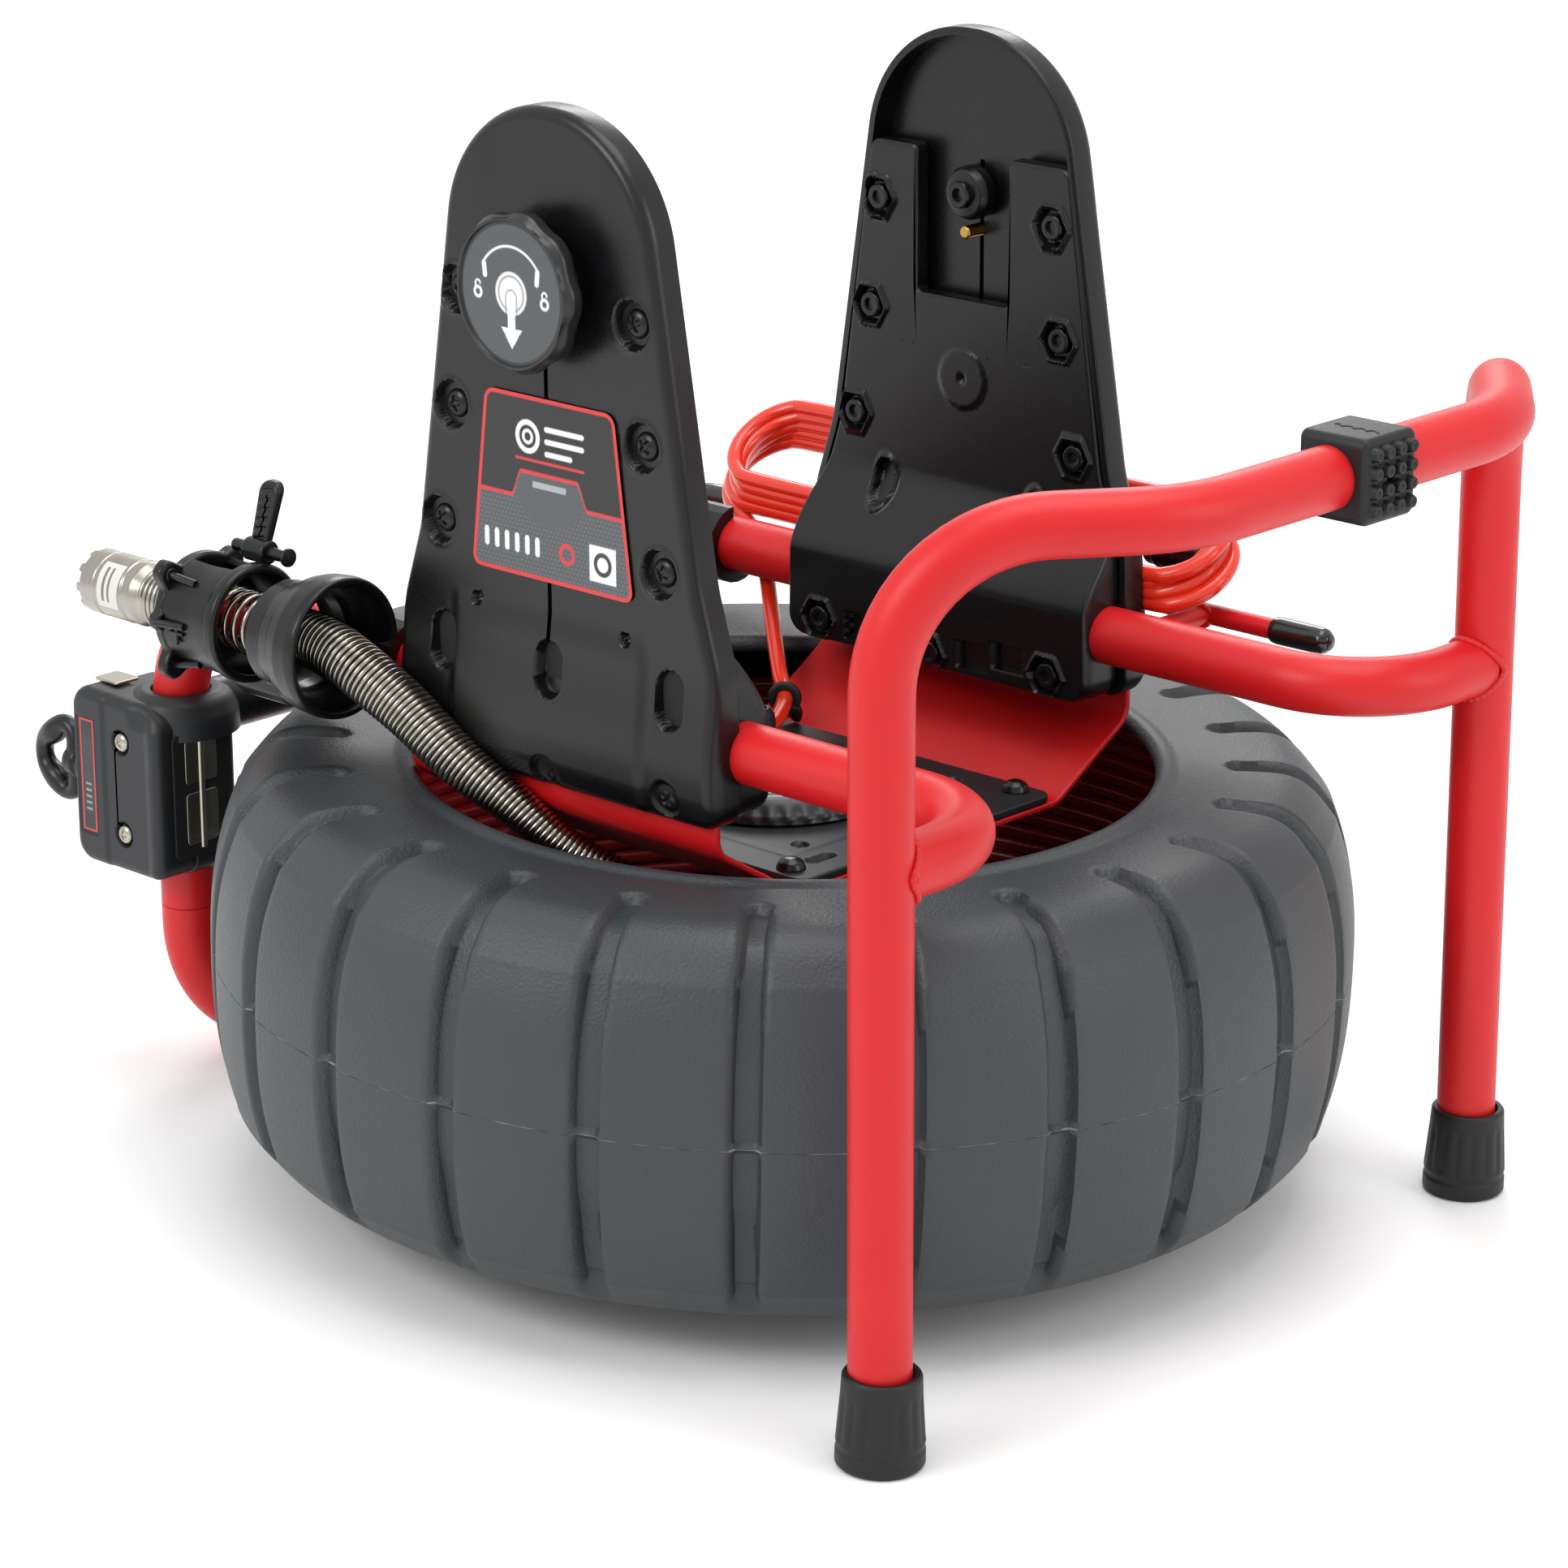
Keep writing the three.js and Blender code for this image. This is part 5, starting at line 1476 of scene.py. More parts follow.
# Lock ring: its top is a flat print with two padlocks, two chain marks and a pointer, and ribs run round
# the rim for grip.
def lockInk(x, y):
    r, a = np.hypot(x, y), np.arctan2(y, x)
    ink = np.ones(x.shape + (3,)) * np.array(linear("#1A1B1D")[:3])
    white = np.zeros_like(x)
    for turn in (-0.9, 0.6, 2.2, -2.4):
        c, s = math.cos(turn), math.sin(turn)
        u, w = x * s - y * c, x * c + y * s
        link = lineMask(np.abs(np.hypot(u - 2.4, w - 26.5) - 2.6), 0.55)
        white = np.maximum(white, lockMask(u, w, (0, 25.5), 3.4) if turn in (-0.9, 2.2) else link)
        if turn not in (-0.9, 2.2):
            white = np.maximum(white, lineMask(np.abs(np.hypot(u + 2.4, w - 26.5) - 2.6), 0.55))
        wedge = (np.abs(u - 9) < (w - 21.5) * 0.6) & (w < 27.5) & (w > 21.5)
        white = np.maximum(white, wedge * 1.0)
    white = np.maximum(white, lineMask(np.abs(r - 34.8), 0.35) * (np.abs(np.sin(2 * a)) > 0.4))
    return blended(ink, "#E2E4E4", white)


def makeLock(spec):
    corners = [
        (spec["inner"], spec["z0"]), (spec["outer"] - 0.6, spec["z0"]), (spec["outer"], spec["z0"] + 0.6),
        (spec["outer"], spec["z0"] + 3), (spec["topR"], spec["z1"] - 0.6), (spec["topR"] - 0.8, spec["z1"]),
    ]
    side = filleted(corners, [0, 0.4, 0.4, 2.0, 1.0, 0], step=0.7)
    face = np.stack(
        [np.linspace(spec["topR"] - 0.8, spec["inner"] + 6.4, 60), np.full(60, spec["z1"])], -1,
    )[1:]
    bore = filleted(
        [
            (spec["inner"] + 6.2, spec["z1"] - 0.2), (spec["inner"] + 5.4, spec["z1"] - 1.6),
            (spec["inner"], spec["z1"] - 1.8), (spec["inner"], spec["z0"]),
        ],
        [0, 0.4, 0.3, 0], step=0.7,
    )
    prof = np.concatenate([side, face, bore])

    def ribs(r, h, a):
        grip = smoothStep(
            spec["topR"] + 0.5, spec["outer"] - 1.0, r,
        ) * smoothStep(spec["z0"] + 0.5, spec["z0"] + 2, h)
        return r - grip * 0.8 * (0.5 + 0.5 * np.cos(40 * a)), h

    v, f = turned(prof, (0, 0, 0), "z", 320, ribs)
    ink = lockInk(v[:, 0], v[:, 1])
    ink[(v[:, 2] < spec["z1"] - 0.1)] = linear("#1A1B1D")[:3]
    addPiece(
        "slipRingLock", raked(v), f, finish["print"], "lock_ring", ["slip_ring_lock"],
        ink=ink,
    )
    core = filleted(
        [(0.01, 169.4), (3.5, 169.4), (4.2, 168.6), (9, 168.4), (12.2, 166), (13, 163), (13, 150)],
        [0, 0.3, 0.3, 2, 1, 1, 0], step=0.5,
    )
    v, f = turned(core, (0, 0, 0), "z", 80)
    addPiece(
        "slipRingCore", raked(v), f, finish["blackPlastic"], "frame", ["slip_ring_core"],
    )
    gland = filleted(
        [(3.4, 169), (6.6, 169), (6.8, 171), (6.2, 175), (4.4, 177.5), (3.3, 177.5)],
        [0, 0.4, 0.5, 1, 0.6, 0], step=0.4,
    )
    v, f = turned(gland, (0, 0, 0), "z", 64)
    v = v * np.array([1, 1, 1]) + np.array([-14 * 0.0, 0, 0])
    addPiece(
        "slipRingGland", raked(v + np.array([-14.0, 5.0, 0.0])), f, finish["rubber"], "frame",
    )


makeLock(lock)


# P-clip: a band bent round the cable, its two ends laid together as a foot under a dome screw.
def makeClip():
    centre = np.array([-54.5, 62.5, 160.0])
    a = np.linspace(-0.6, 2 * math.pi - 1.5, 44)
    ring = np.stack([3.6 * np.cos(a), 2.6 * np.cos(a), 4.5 * np.sin(a)], -1)
    foot = np.array([(3.4, 2.6, -4.6), (2.0, 4.5, -8.4), (-1.5, 7.0, -10.0)])
    path = smoothPath(np.concatenate([ring, foot]), 0.8)
    v, f = tube(raked(centre + path), 2.3, 16, (0.6, -0.7, 0.1), squash=(1.0, 0.55))
    hv, hf = screwHead(3.6, 0.8)
    hv = raked(facing(hv, (0, 0, 1), (centre[0] - 1.0, centre[1] + 6.0, 152.0)))
    addPiece("systemCableClip", v, f, finish["rubber"], "frame", ["system_cable_clip"])
    addPiece("systemCableClipScrew", hv, hf, finish["blackScrew"], "frame")


makeClip()
print("hub made")


# Feet, bar rest and rod.

foot = {"x": 205.1, "y": 166.4, "height": 34.0, "lowR": 15.6, "highR": 13.8}


def makeFeet(spec):
    r0, r1, h = spec["lowR"], spec["highR"], spec["height"]
    corners = [
        (0.01, 0.6), (r0 - 4, 0.6), (r0 - 3.4, 0), (r0 - 1.2, 0), (r0, 1.4), (r0 - 0.05, 6),
        (r0 - 0.5, 6.6), (r0 - 0.5, 8.4), (r0 - 0.1, 9), (r1 + 0.5, h - 9), (r1, h - 1), (r1 - 0.8, h),
        (11.3, h), (11.3, h - 4),
    ]
    prof = filleted(corners, [0, 0.3, 0.3, 0.8, 0.8, 0.3, 0.3, 0.3, 0.3, 2, 0.6, 0.4, 0.2, 0], step=0.5)

    def flutes(r, hh, a):
        band = smoothStep(9.5, 12, hh) * smoothStep(h - 5, h - 9, hh)
        return r - band * 0.45 * (0.5 + 0.5 * np.cos(16 * a)) ** 2, hh

    for side, sign in (("near", -1), ("far", 1)):
        v, f = turned(prof, (spec["x"], sign * spec["y"], 0), "z", 128, flutes)
        addPiece(side + "Foot", v, f, finish["rubber"], "frame", [side + "_foot"])


makeFeet(foot)

rest = {
    "centre": (270.0, 0.0, 320.0), "halfX": 15.0, "halfY": 14.2, "halfZ": 15.0, "nubs": 4, "pitch": 6.4,
    "nubR": 2.35, "nubHeight": 2.6,
}


# Bar rest: a moulded block on the bar, a relief plate facing +x with a grid of 4 x 4 nubs and a sight hole.
def makeRest(spec):
    hy, hz = spec["halfY"], spec["halfZ"]
    outline = filleted(
        [(-hy, -hz), (hy, -hz), (hy, hz), (-hy, hz)], [3.4] * 4, step=0.5, closed=True, arcStep=0.15,
    )

    def nubs(y, z):
        depth = roundPit(y, z, (0, 0), 1.9, 6.0, 0.3)
        half = (spec["nubs"] - 1) / 2
        for i in range(spec["nubs"]):
            for j in range(spec["nubs"]):
                at = ((i - half) * spec["pitch"], (j - half) * spec["pitch"])
                depth = depth - roundPit(y, z, at, spec["nubR"], spec["nubHeight"], 0.35)
                depth = depth + roundPit(y, z, at, 0.8, 0.5, 0.3)
        return depth

    v, f = reliefPlate(
        outline, (0, 0, 0, 0), 0, 2 * spec["halfX"] - spec["nubHeight"] + 1.0, 1, nubs, 2.4, 2.4, 70,
    )
    x = spec["centre"][0] + spec["halfX"] - spec["nubHeight"] + v[:, 1]
    made = np.stack([x, v[:, 0], spec["centre"][2] + v[:, 2]], -1)
    addPiece("barRest", raked(made), f, finish["rubber"], "frame", ["bar_rest_block"], smooth=55)
    dot = turned(filleted([(0.01, 0.3), (1.5, 0.2), (1.7, 0)], [0, 0.2, 0], step=0.2), (0, 0, 0), "x", 32)
    at = np.array([spec["centre"][0] + spec["halfX"] - spec["nubHeight"] - 4.4, 0, spec["centre"][2]])
    addPiece("barRestSight", raked(dot[0] + at), dot[1], finish["redPaint"], "frame")
    seam = np.array([(
        spec["centre"][0] + s, -hy + 4 + abs(s) * 0.0, hz + 320.0,
    ) for s in np.linspace(-10, 9, 12)])
    seam[:, 1] = -2 + 1.2 * np.sin(np.arange(12) * 2.2)
    v, f = tube(raked(seam), 0.35, 6, (0, 1, 0.3))
    addPiece("barRestSeam", v, f, finish["rubber"], "frame")


makeRest(rest)

rod = {"y": 143.0, "z": 206.0, "x0": -169.0, "x1": 143.0, "radius": 4.0, "posts": (-90, 92)}


# Winding rod: straight red bar on two posts, each end dipped in vinyl; the dip swells and sags to a nib.
def makeRod(spec):
    line = filleted(
        [(spec["x0"] + 4, spec["y"], spec["z"]), (spec["x1"] - 4, spec["y"], spec["z"])], [0, 0], step=5,
    )
    parts = [tube(raked(line), spec["radius"], 28, (0, 0.2, 1))]
    for x in spec["posts"]:
        post = filleted([(x, spec["y"], spec["z"]), (x, 101, spec["z"])], [0, 0], step=3)
        parts.append(tube(raked(post), spec["radius"], 28, (1, 0, 0.2)))
        a = np.linspace(0, 2 * math.pi, 90, endpoint=False)
        ring = np.stack(
            [
                x + 4.6 * np.cos(a), spec["y"] - np.sqrt((4 * np.sin(a)) ** 2 + 4.0) - 0.2,
                spec["z"] + 4.6 * np.sin(a),
            ],
            -1,
        )
        parts.append(tube(raked(ring), 0.9 + 0.15 * np.cos(17 * a), 8, (0.1, 1, 0.05), closed=True))
    v, f = joined(parts)
    addPiece("cableWrapRod", v, f, finish["redPaint"], "frame", ["cable_wrap_rod"])
    cap = filleted(
        [(4.05, 1.2), (4.6, 0), (5.1, 0.5), (5.4, 3), (5.3, 19), (4.9, 24), (2.9, 26.6), (0.01, 27.2)],
        [0, 0.3, 0.4, 2, 4, 3, 1.5, 0], step=0.5,
    )
    for name, x, flip in (("rodCapRear", spec["x1"] - 18, 1), ("rodCapFront", spec["x0"] + 18, -1)):
        v, f = turned(cap, (0, 0, 0), "x", 64)
        v = v * np.array([flip, 1, 1]) + np.array([x, spec["y"], spec["z"]])
        node = "rod_cap_rear" if flip > 0 else "rod_cap_front"
        addPiece(name, raked(v), f, finish["vinyl"], "frame", [node])


makeRod(rod)
print("feet, rest and rod made")


# Sensor housing clamped on the front tube.

housing = {
    "front": {"y": -126.0, "thickness": 18.0},
    "rear": {"y": -84.7, "thickness": 22.8},
    "outline": [(-266, 92), (-213, 92), (-213, 158), (-226, 163), (-266, 165)],
    "radii": [9, 8, 8, 8, 9],
    "screws": [(-236, 146), (-236, 108)],
    "label": (-256.5, 128.5, 4.6, 23.5),
}


def housingCarve(x, z):
    depth = np.zeros_like(x)
    for at in housing["screws"]:
        depth = depth + roundPit(x, z, at, 4.9, 2.6, 0.6)
    cx, cz, hx, hz = housing["label"]
    frameIn = np.maximum(np.abs(x - cx) - hx - 0.6, np.abs(z - cz) - hz - 0.6)
    depth = depth + 0.7 * (1 - smoothStep(-0.3, 0.4, frameIn))
    shoulder = smoothStep(-232, -226, x) * smoothStep(152, 158, z)
    return depth + 1.6 * shoulder + 1.2 * smoothStep(-247.5, -244.5, x) * (1 - smoothStep(-222, -218, x)) * 0.6


def stripInk(u, v):
    x, z = (u - 0.5) * 9.2, (v - 0.5) * 47
    edge = np.minimum(4.6 - np.abs(x), 23.5 - np.abs(z))
    ink = np.ones(u.shape + (3,)) * np.array(linear("#1A1B1C")[:3])
    weave = (np.sin(z * 4.2) * np.sin(x * 4.2 + z * 2.1) > 0.2) * (np.abs(z) < 16) * (np.abs(x) < 2.9)
    ink = blended(ink, "#46494B", weave * 0.7)
    for k in range(5):
        ink = blended(
            ink, "#8D9092", lineMask(
                segment(x, z, (-1.3, -14 + 2.6 * k), (1.3, -14 + 2.6 * k)), 0.45,
            ) * 0.9,
        )
    ink = blended(ink, "#0C0C0D", lineMask(edge, 0.35, 0.1))
    return blended(ink, "#C92B30", ((edge > 0.45) & (edge < 1.15)) * 1.0)


# Open plate in space: p(i, j) on a flat rectangle about a centre, painted by ink(u, v).
def filmPatch(name, centre, halfU, halfV, axisU, axisV, paint, rows=90, cols=40, body="frame"):
    u, v = np.meshgrid(np.linspace(0, 1, cols), np.linspace(0, 1, rows), indexing="ij")
    a, b = np.asarray(axisU, float), np.asarray(axisV, float)
    verts = np.asarray(centre, float) + (2 * u - 1)[..., None] * halfU * a + (2 * v - 1)[..., None] * halfV * b
    return addPiece(
        name, raked(verts), gridFaces(
            cols, rows, closeCols=False,
        ), finish["print"], body, ink=paint(u, v).reshape(-1, 3)
    )


# Pressed strip: a rounded rectangle swept a short way, its long edges rolled.
def pressedPlate(name, outline, radius, thickness, place, material, carve=None, edge=0.5, body="frame"):
    line = filleted(outline, [radius] * len(outline), step=0.7, closed=True, arcStep=0.2)
    mid = line.mean(0)
    v, f = reliefPlate(line, (mid[0], mid[0], mid[1], mid[1]), 0, thickness, 1, carve, edge, 0.3, 18)
    return addPiece(name, raked(place(v)), f, finish[material], body)


def makeHousing(spec):
    line = filleted(spec["outline"], spec["radii"], step=0.7, closed=True, arcStep=0.1)
    front, rear = spec["front"], spec["rear"]
    v, f = reliefPlate(
        line, (-240, -239, 108, 150), front["y"], front["thickness"], -1, housingCarve, 4.5, 0.8, 70,
    )
    addPiece(
        "sensorFrontShell", raked(v), f, finish["greyPlastic"], "frame",
        ["sensor_front_shell"],
    )
    rearLine = line * np.array([1, 0.985]) + np.array([0, 0.6])
    v, f = reliefPlate(
        rearLine, (-240, -239, 108, 150), rear["y"], rear["thickness"], 1, None, 4.5, 0.8, 40,
    )
    addPiece(
        "sensorRearShell", raked(v), f, finish["greyPlastic"], "frame",
        ["sensor_rear_shell"],
    )
    screws = []
    for k, at in enumerate(spec["screws"]):
        hv, hf = screwHead(3.9, 0.9)
        screws.append((facing(hv, (0, -1, 0), (at[0], front["y"] + 2.2, at[1]), 0.6 + k), hf))
    v, f = joined(screws)
    addPiece("sensorScrews", raked(v), f, finish["nickel"], "frame")
    cx, cz, hx, hz = spec["label"]
    filmPatch("sensorStrip", (cx, front["y"] + 0.62, cz), hx, hz, (1, 0, 0), (0, 0, 1), stripInk, 200, 60)
    collar = filleted(
        [(11.4, 2), (12, 4.2), (15.5, 4.4), (20, 2), (22.6, -4), (23, -12)], [0, 0.6, 2.5, 5, 5, 0],
        step=0.6,
    )
    v, f = turned(collar, (-228, -100, 161), "z", 96)
    addPiece("sensorCollar", raked(v), f, finish["greyPlastic"], "frame")
    side = lambda v: np.stack([-212.9 + 0.6 - v[:, 1], v[:, 0], v[:, 2]], -1)
    pressedPlate("claspUpper", [(-113, 131), (-97, 131), (-97, 149), (-113, 149)], 1.6, 1.0, side, "nickel")
    pressedPlate("claspLower", [(-113, 106), (-97, 106), (-97, 127), (-113, 127)], 1.6, 1.0, side, "nickel")
    # Painted shade: a near-black plate behind the clasps stands in for the shadow in their recess.
    recess = lambda v: np.stack([-213.2 + 0.5 - v[:, 1], v[:, 0], v[:, 2]], -1)
    made = pressedPlate(
        "claspRecessShade", [(-119, 101), (-90, 101), (-90, 152), (-119, 152)], 3, 1.2, recess, "shadowBlack",
    )
    top = lambda v: np.stack([v[:, 0], v[:, 2] - 0.0, 165.6 + 0.4 + v[:, 1]], -1)
    pressedPlate(
        "claspTop", [(-262, -116), (-248, -116), (-248, -104), (-262, -104)], 1.5, 1.2, top, "nickel",
    )
    hinge = np.array([(-211.8, -105, z) for z in np.linspace(104, 150, 12)])
    v, f = tube(raked(hinge), 1.5, 16, (1, 0.1, 0))
    addPiece("claspPin", v, f, finish["nickel"], "frame")


makeHousing(housing)

loop = {"centre": (-282.2, -117.0, 129.0), "outer": 15.2, "stretch": 1.25, "wire": 4.4}


# Clamp knob: a rounded triangular ring, r(a) = R (1 + e cos 3a), on a stem with a collar.
def makeLoop(spec):
    cx, cy, cz = spec["centre"]
    a = np.linspace(0, 2 * math.pi, 160, endpoint=False)
    r = (spec["outer"] - spec["wire"]) * (1 + 0.13 * np.cos(3 * (a - math.pi))) - 0.4
    path = np.stack([cx + r * np.cos(a), np.full_like(a, cy), cz + spec["stretch"] * r * np.sin(a)], -1)
    thick = spec["wire"] * (1 + 0.16 * np.cos(3 * a))
    ring = tube(raked(path), thick, 24, (0, 1, 0), closed=True, squash=(1, 1))
    stem = [
        (0.01, 0), (5.4, 0), (6.6, -2.5), (6.9, -7), (5.2, -9), (5.2, -10.6), (8, -11.2), (8, -13.4),
        (0.01, -13.4),
    ]
    v, f = turned(filleted(stem, [0, 1.5, 2, 1.5, 0.6, 0.4, 0.5, 0.5, 0], step=0.5), (0, 0, 0), "x", 64)
    v = v * np.array([-1, 1, 1]) + np.array([cx + 5.0, cy, cz])
    v2, f2 = joined([ring, (raked(v), f)])
    addPiece(
        "sensorClampKnob", v2, f2, finish["blackPlastic"], "sensor_knob",
        ["sensor_clamp_knob"],
    )


makeLoop(loop)
print("sensor made")


# Camera clip, strap and guide funnel.

clip = {
    "x0": -172.0, "x1": -138.0, "y": -136.0, "z": 216.0, "inner": 19.2, "outer": 21.8,
    "window": (1.05, 1.85),
}


# Clip ring: p(t, a) turned about x with a lobed flange; its wall is a band r(t) over all angles but the window.
def makeClipRing(spec):
    ri, ro, length = spec["inner"], spec["outer"], spec["x1"] - spec["x0"]
    centre = np.array([spec["x0"], spec["y"], spec["z"]])
    flange = [
        (14.2, 1.0), (15.0, 0.2), (ro - 0.6, 0), (ro + 0.6, 0.8), (ro + 0.7, 4.4), (ro - 0.4, 5.6),
        (14.2, 5.8),
    ]
    parts = []

    def ears(r, h, a):
        bulge = np.zeros_like(a * r)
        for at, size, wide in (
            (2.35, 7.0, 0.2), (0.86, 4.2, 0.2), (-0.86, 4.6, 0.2), (-2.3, 7.2, 0.22), (math.pi, 2.6, 0.14),
        ):
            off = np.abs((a - at + math.pi) % (2 * math.pi) - math.pi)
            bulge = bulge + size * np.exp(-((off / wide) ** 4.0))
        return r + smoothStep(ro - 3.0, ro, r) * bulge, h

    v, f = turned(filleted(flange + [flange[0]], [0.5] * 8, step=0.5), (0, 0, 0), "x", 300, ears)
    parts.append((v + centre, f))
    rim = [
        (ri, length - 7), (ri, length - 0.8), (ri + 0.8, length), (ro, length), (ro + 1.1, length - 1.2),
        (ro + 1.1, length - 4.5), (ro, length - 6.5), (ri, length - 7),
    ]
    v, f = turned(filleted(rim, [0.5] * 8, step=0.5), (0, 0, 0), "x", 160)
    parts.append((v + centre, f))
    a = np.linspace(spec["window"][1], spec["window"][0] + 2 * math.pi, 150)
    h = np.linspace(4.6, length - 5.5, 20)
    hh, aa = np.meshgrid(h, a, indexing="ij")
    bow = 0.5 * np.cos(math.pi * (hh - h[0]) / (h[-1] - h[0])) ** 2
    sheets = []
    for r in (ro - 0.3 + bow, ri + 0 * bow):
        sheets.append(np.stack([hh, r * np.cos(aa), r * np.sin(aa)], -1))
    shell = np.concatenate([sheets[0], sheets[1][:, ::-1]], 1)
    parts.append((shell.reshape(-1, 3) + centre, gridFaces(len(h), shell.shape[1])))
    # Short gussets run back from the ears along the wall.
    for at in (2.35, -2.3, math.pi):
        line = np.array([[4.0, 24.6, at], [10.0, 23.0, at], [17.0, 21.6, at]])
        xyz = np.stack(
            [line[:, 0], line[:, 1] * np.cos(line[:, 2]), line[:, 1] * np.sin(line[:, 2])], -1,
        ) + centre
        parts.append(tube(smoothPath(xyz, 1.0), 1.5, 12, (0.1, 1, 0.3)))
    v, f = joined(parts)
    addPiece(
        "cameraClip", raked(v), f, finish["blackPlastic"], "frame", ["camera_clip"],
        smooth=45,
    )
    # Cross-shaped stiffening mark on the wall and a sleeve pin in the upper ear.
    bars = []
    for du, dv in (((0, -4.4), (0, 4.4)), ((-3.6, 0), (3.6, 0))):
        x0, z0 = spec["x0"] + 13, spec["z"] - 3.0
        y0 = spec["y"] - ro + 0.1
        bars.append(tube(
            raked(smoothPath(np.array([[x0 + du[0], y0, z0 + du[1]], [x0 + dv[0], y0, z0 + dv[1]]]), 0.8)),
            0.8, 10, (0.1, 1, 0.1),
        ))
    v, f = joined(bars)
    addPiece("cameraClipMark", v, f, finish["blackPlastic"], "frame")
    hv, hf = turned(
        filleted(
            [(0.01, -0.6), (1.0, -0.6), (1.4, 0.4), (2.3, 0.5), (2.6, 0)], [0, 0.2, 0.2, 0.2, 0], step=0.2,
        ),
        (0, 0, 0), "x", 40,
    )
    at = centre + np.array([5.5, 24.2 * math.cos(2.35), 24.2 * math.sin(2.35)])
    addPiece("cameraClipPin", raked(hv + at), hf, finish["blackScrew"], "frame")


makeClipRing(clip)

saddle = {"x0": -173.0, "x1": -142.5, "y0": -120.1, "y1": -85.2, "z0": 177.5, "z1": 199.5}


# Saddle under the ring: a block with eased edges wrapped on the rail, its flanks hollowed.
def makeSaddle(spec):
    y0, y1, z0, z1 = spec["y0"], spec["y1"], spec["z0"], spec["z1"]
    outline = filleted(
        [
            (y0, z0 + 5), (y0 + 5, z0), (y1 - 7, z0), (y1, z0 + 8), (y1, z1 - 2), (y1 - 8, z1 + 9.5),
            (y0 + 10, z1 + 9.5), (y0, z1 + 2),
        ],
        [4, 4, 5, 5, 4, 4, 3, 3], step=0.6, closed=True, arcStep=0.12,
    )

    def hollow(y, z):
        return 1.3 * (1 - smoothStep(5.0, 6.0, np.hypot(y + 102, z - 190)))

    v, f = reliefPlate(outline, (-103, -101, 190, 192), 0, spec["x1"] - spec["x0"], 1, hollow, 2.6, 2.6, 36)
    made = np.stack([spec["x1"] + v[:, 1], v[:, 0], v[:, 2]], -1)
    addPiece("clipSaddle", raked(made), f, finish["blackPlastic"], "frame", smooth=50)


makeSaddle(saddle)

strap = {"pivot": (0.0, -126.0, 241.0), "x0": -152.5, "x1": -141.5, "height": 25.5, "lean": 7.0, "ribs": 6}


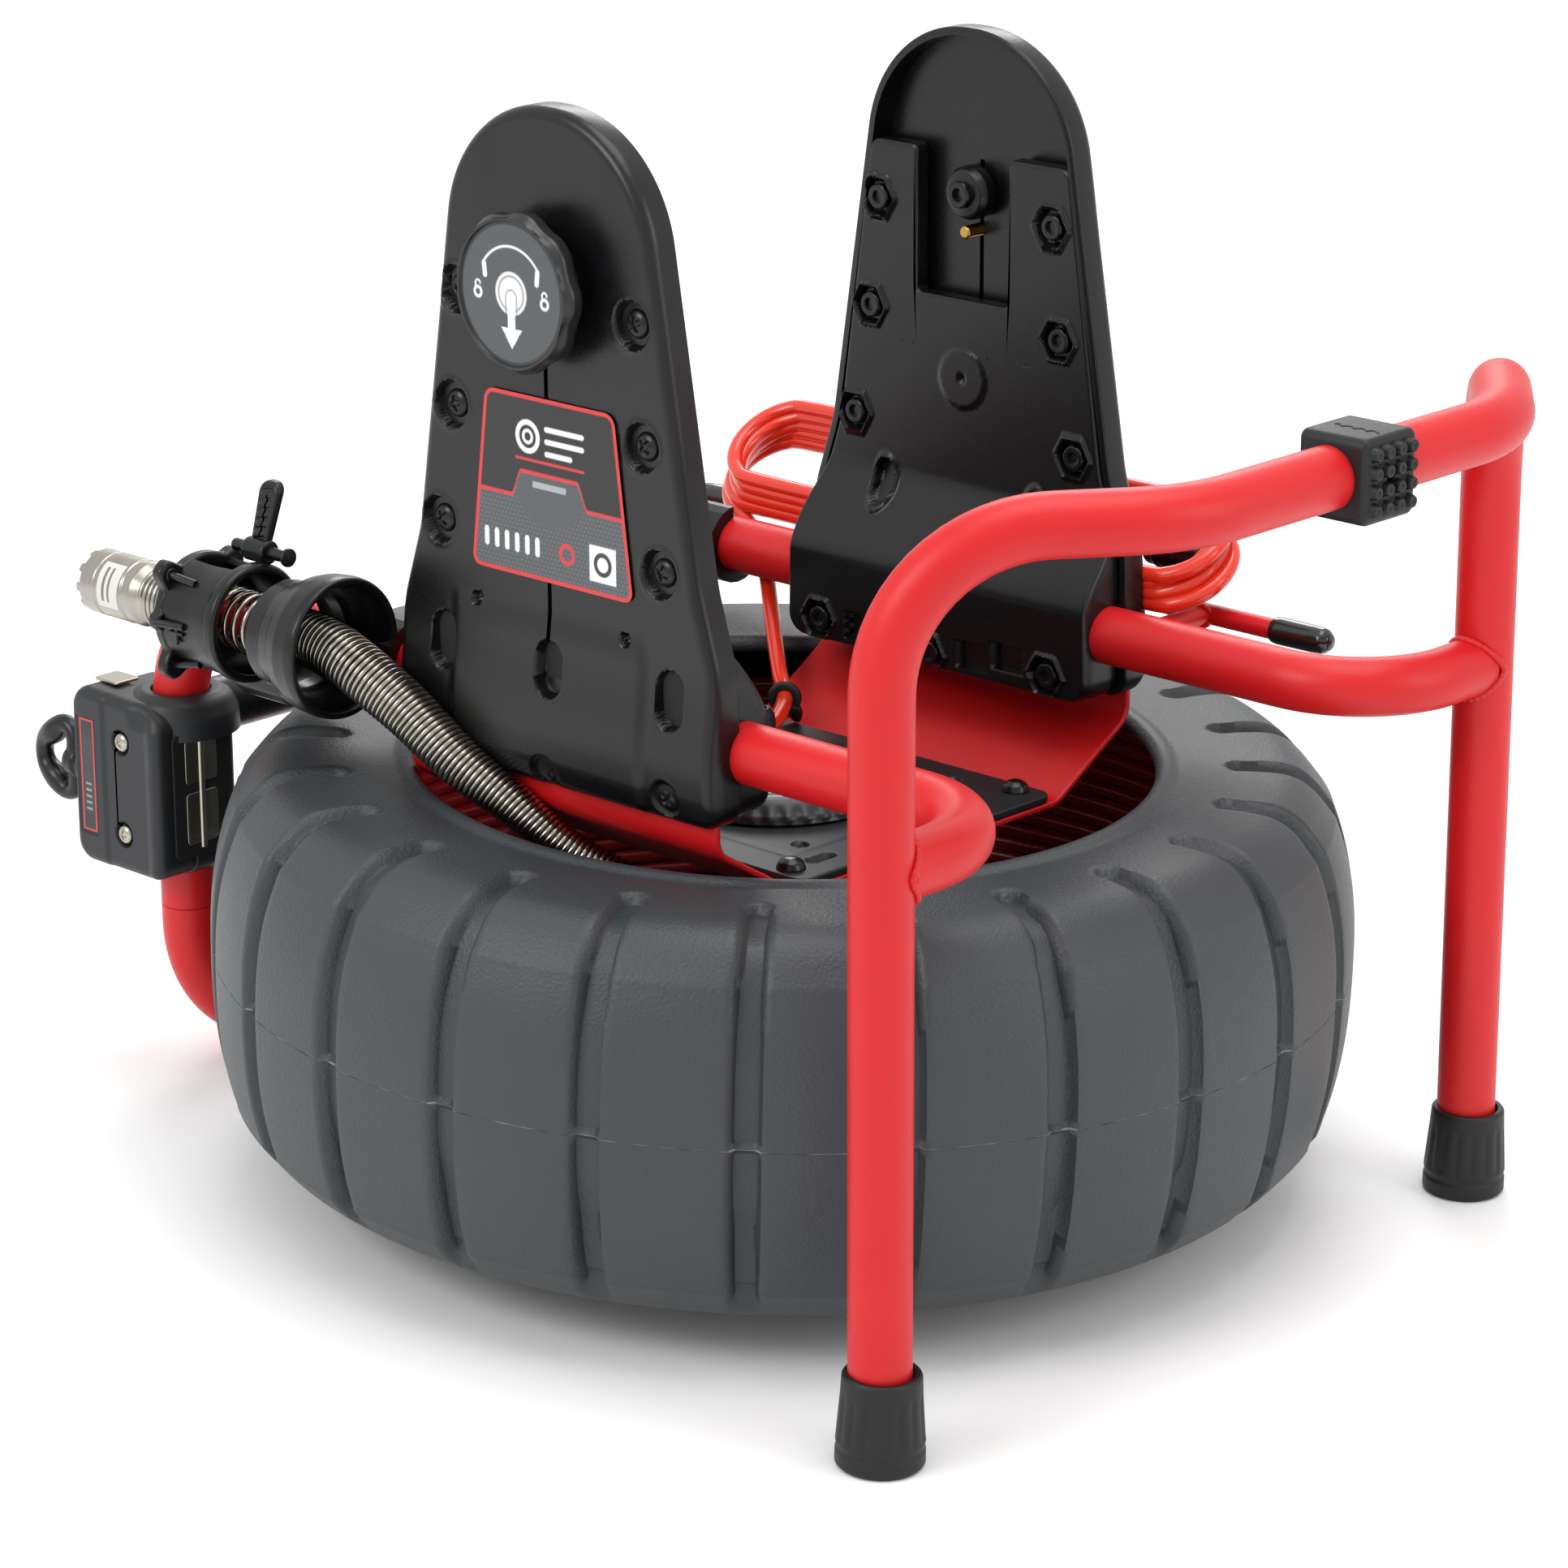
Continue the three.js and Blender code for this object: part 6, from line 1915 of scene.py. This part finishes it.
# Strap tab: a tapered tongue with rounded ribs across its face, leaning back from its pin.
def makeStrap(spec):
    py, pz = spec["pivot"][1:]
    half = (spec["x1"] - spec["x0"]) / 2
    mid = (spec["x0"] + spec["x1"]) / 2
    outline = filleted(
        [(-half * 0.74, 0), (half * 0.74, 0), (half * 1.0, spec["height"]), (-half * 1.0, spec["height"])],
        [1.0, 1.0, 4.2, 4.2], step=0.4, closed=True, arcStep=0.12,
    )

    def ribs(x, z):
        depth = np.zeros_like(x)
        for k in range(spec["ribs"]):
            z0 = 4.4 + k * 3.5
            depth = depth + 0.75 * np.exp(-(((segment(
                x, z, (-2.2, z0 - 0.4), (2.4, z0 + 0.4),
            )) / 1.05) ** 4))
        return depth

    v, f = reliefPlate(outline, (-0.5, 0.5, 5, spec["height"] - 5), 2.1, 4.2, 1, ribs, 1.2, 1.0, 46)
    v2 = v * np.array([1, -1, 1])
    lean = spec["lean"] / 22.0
    made = np.stack([mid + v2[:, 0], py + v2[:, 1] + v2[:, 2] * lean, pz + v2[:, 2]], -1)
    boss = turned(
        filleted(
            [(2.5, -6), (4.2, -6), (4.6, -5.4), (4.6, 5.4), (4.2, 6), (2.5, 6)], [0, 0.5, 0.4, 0.4, 0.5, 0],
            step=0.5,
        ),
        (0, 0, 0), "x", 48,
    )
    bv = boss[0] + np.array([mid, py, pz])
    v, f = joined([(made, f), (bv, boss[1])])
    addPiece(
        "clipStrap", raked(v), f, finish["blackPlastic"], "strap", ["clip_strap"],
        smooth=50,
    )
    pin = filleted(
        [(0.01, 0), (2.0, 0), (2.4, 0.6), (2.4, 25), (2.1, 29), (3.6, 29.6), (3.6, 31), (0.01, 31.2)],
        [0, 0.4, 0.4, 1, 0.5, 0.3, 0.3, 0], step=0.5,
    )
    pv, pf = turned(pin, (0, 0, 0), "x", 40)
    addPiece(
        "clipStrapPin", raked(pv + np.array([-161.2, py, pz])), pf, finish["blackPlastic"], "frame",
        ["clip_strap_pin"],
    )


makeStrap(strap)

funnel = {"x": -106.0, "y": -136.0, "z": 216.0}


# Guide funnel: r(h) turned about x, a stepped barrel opening to a thick rolled rim.
def makeFunnel(spec):
    corners = [
        (17.2, -15.5), (17.8, -17), (19.4, -17), (20.2, -15.8), (20.6, -9), (21.4, -7.6), (22.6, -3), (23.0, -1.4),
        (24.8, 0.4), (26.4, 6), (27, 13), (26.6, 16.2), (25.6, 17), (24.4, 16.6), (23.4, 14.6), (21.8, 7), (19.6, 0),
        (18.2, -3), (17.2, -8),
    ]
    radii = [0.5, 0.6, 0.8, 1, 0.8, 1, 1, 0.8, 1.2, 3, 2, 1.2, 0.9, 0.9, 1.5, 3, 3, 3, 3]
    prof = filleted(corners + corners[:1], radii + [0.5], step=0.55)
    v, f = turned(prof, (spec["x"], spec["y"], spec["z"]), "x", 180)
    addPiece(
        "guideFunnel", raked(v), f, finish["blackPlastic"], "frame", ["guide_funnel"],
        smooth=40,
    )


makeFunnel(funnel)

for node, material, slotName in (
    ("front_bridge", "blackPlastic", "black_plastic"),
    ("drum_hub", "drumPlastic", "drum_plastic"),
    ("lower_hub_bearing", "nickel", "steel"),
    ("upper_hub_bearing", "nickel", "steel"),
    ("hub_axle", "turnedSteel", "steel"),
    ("axle_nut", "nickel", "steel"),
):
    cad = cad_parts[node]
    cad.data.materials.clear()
    cad.data.materials.append(finish[material])
    cad.data.polygons.foreach_set("use_smooth", np.ones(len(cad.data.polygons), bool))
    cad.data.set_sharp_from_angle(angle=math.radians(32))
    eased = cad.modifiers.new("easedEdge", "BEVEL")
    eased.width, eased.segments, eased.limit_method = 0.0008, 2, "ANGLE"
    eased.angle_limit = math.radians(35)
print("clip, strap and funnel made")
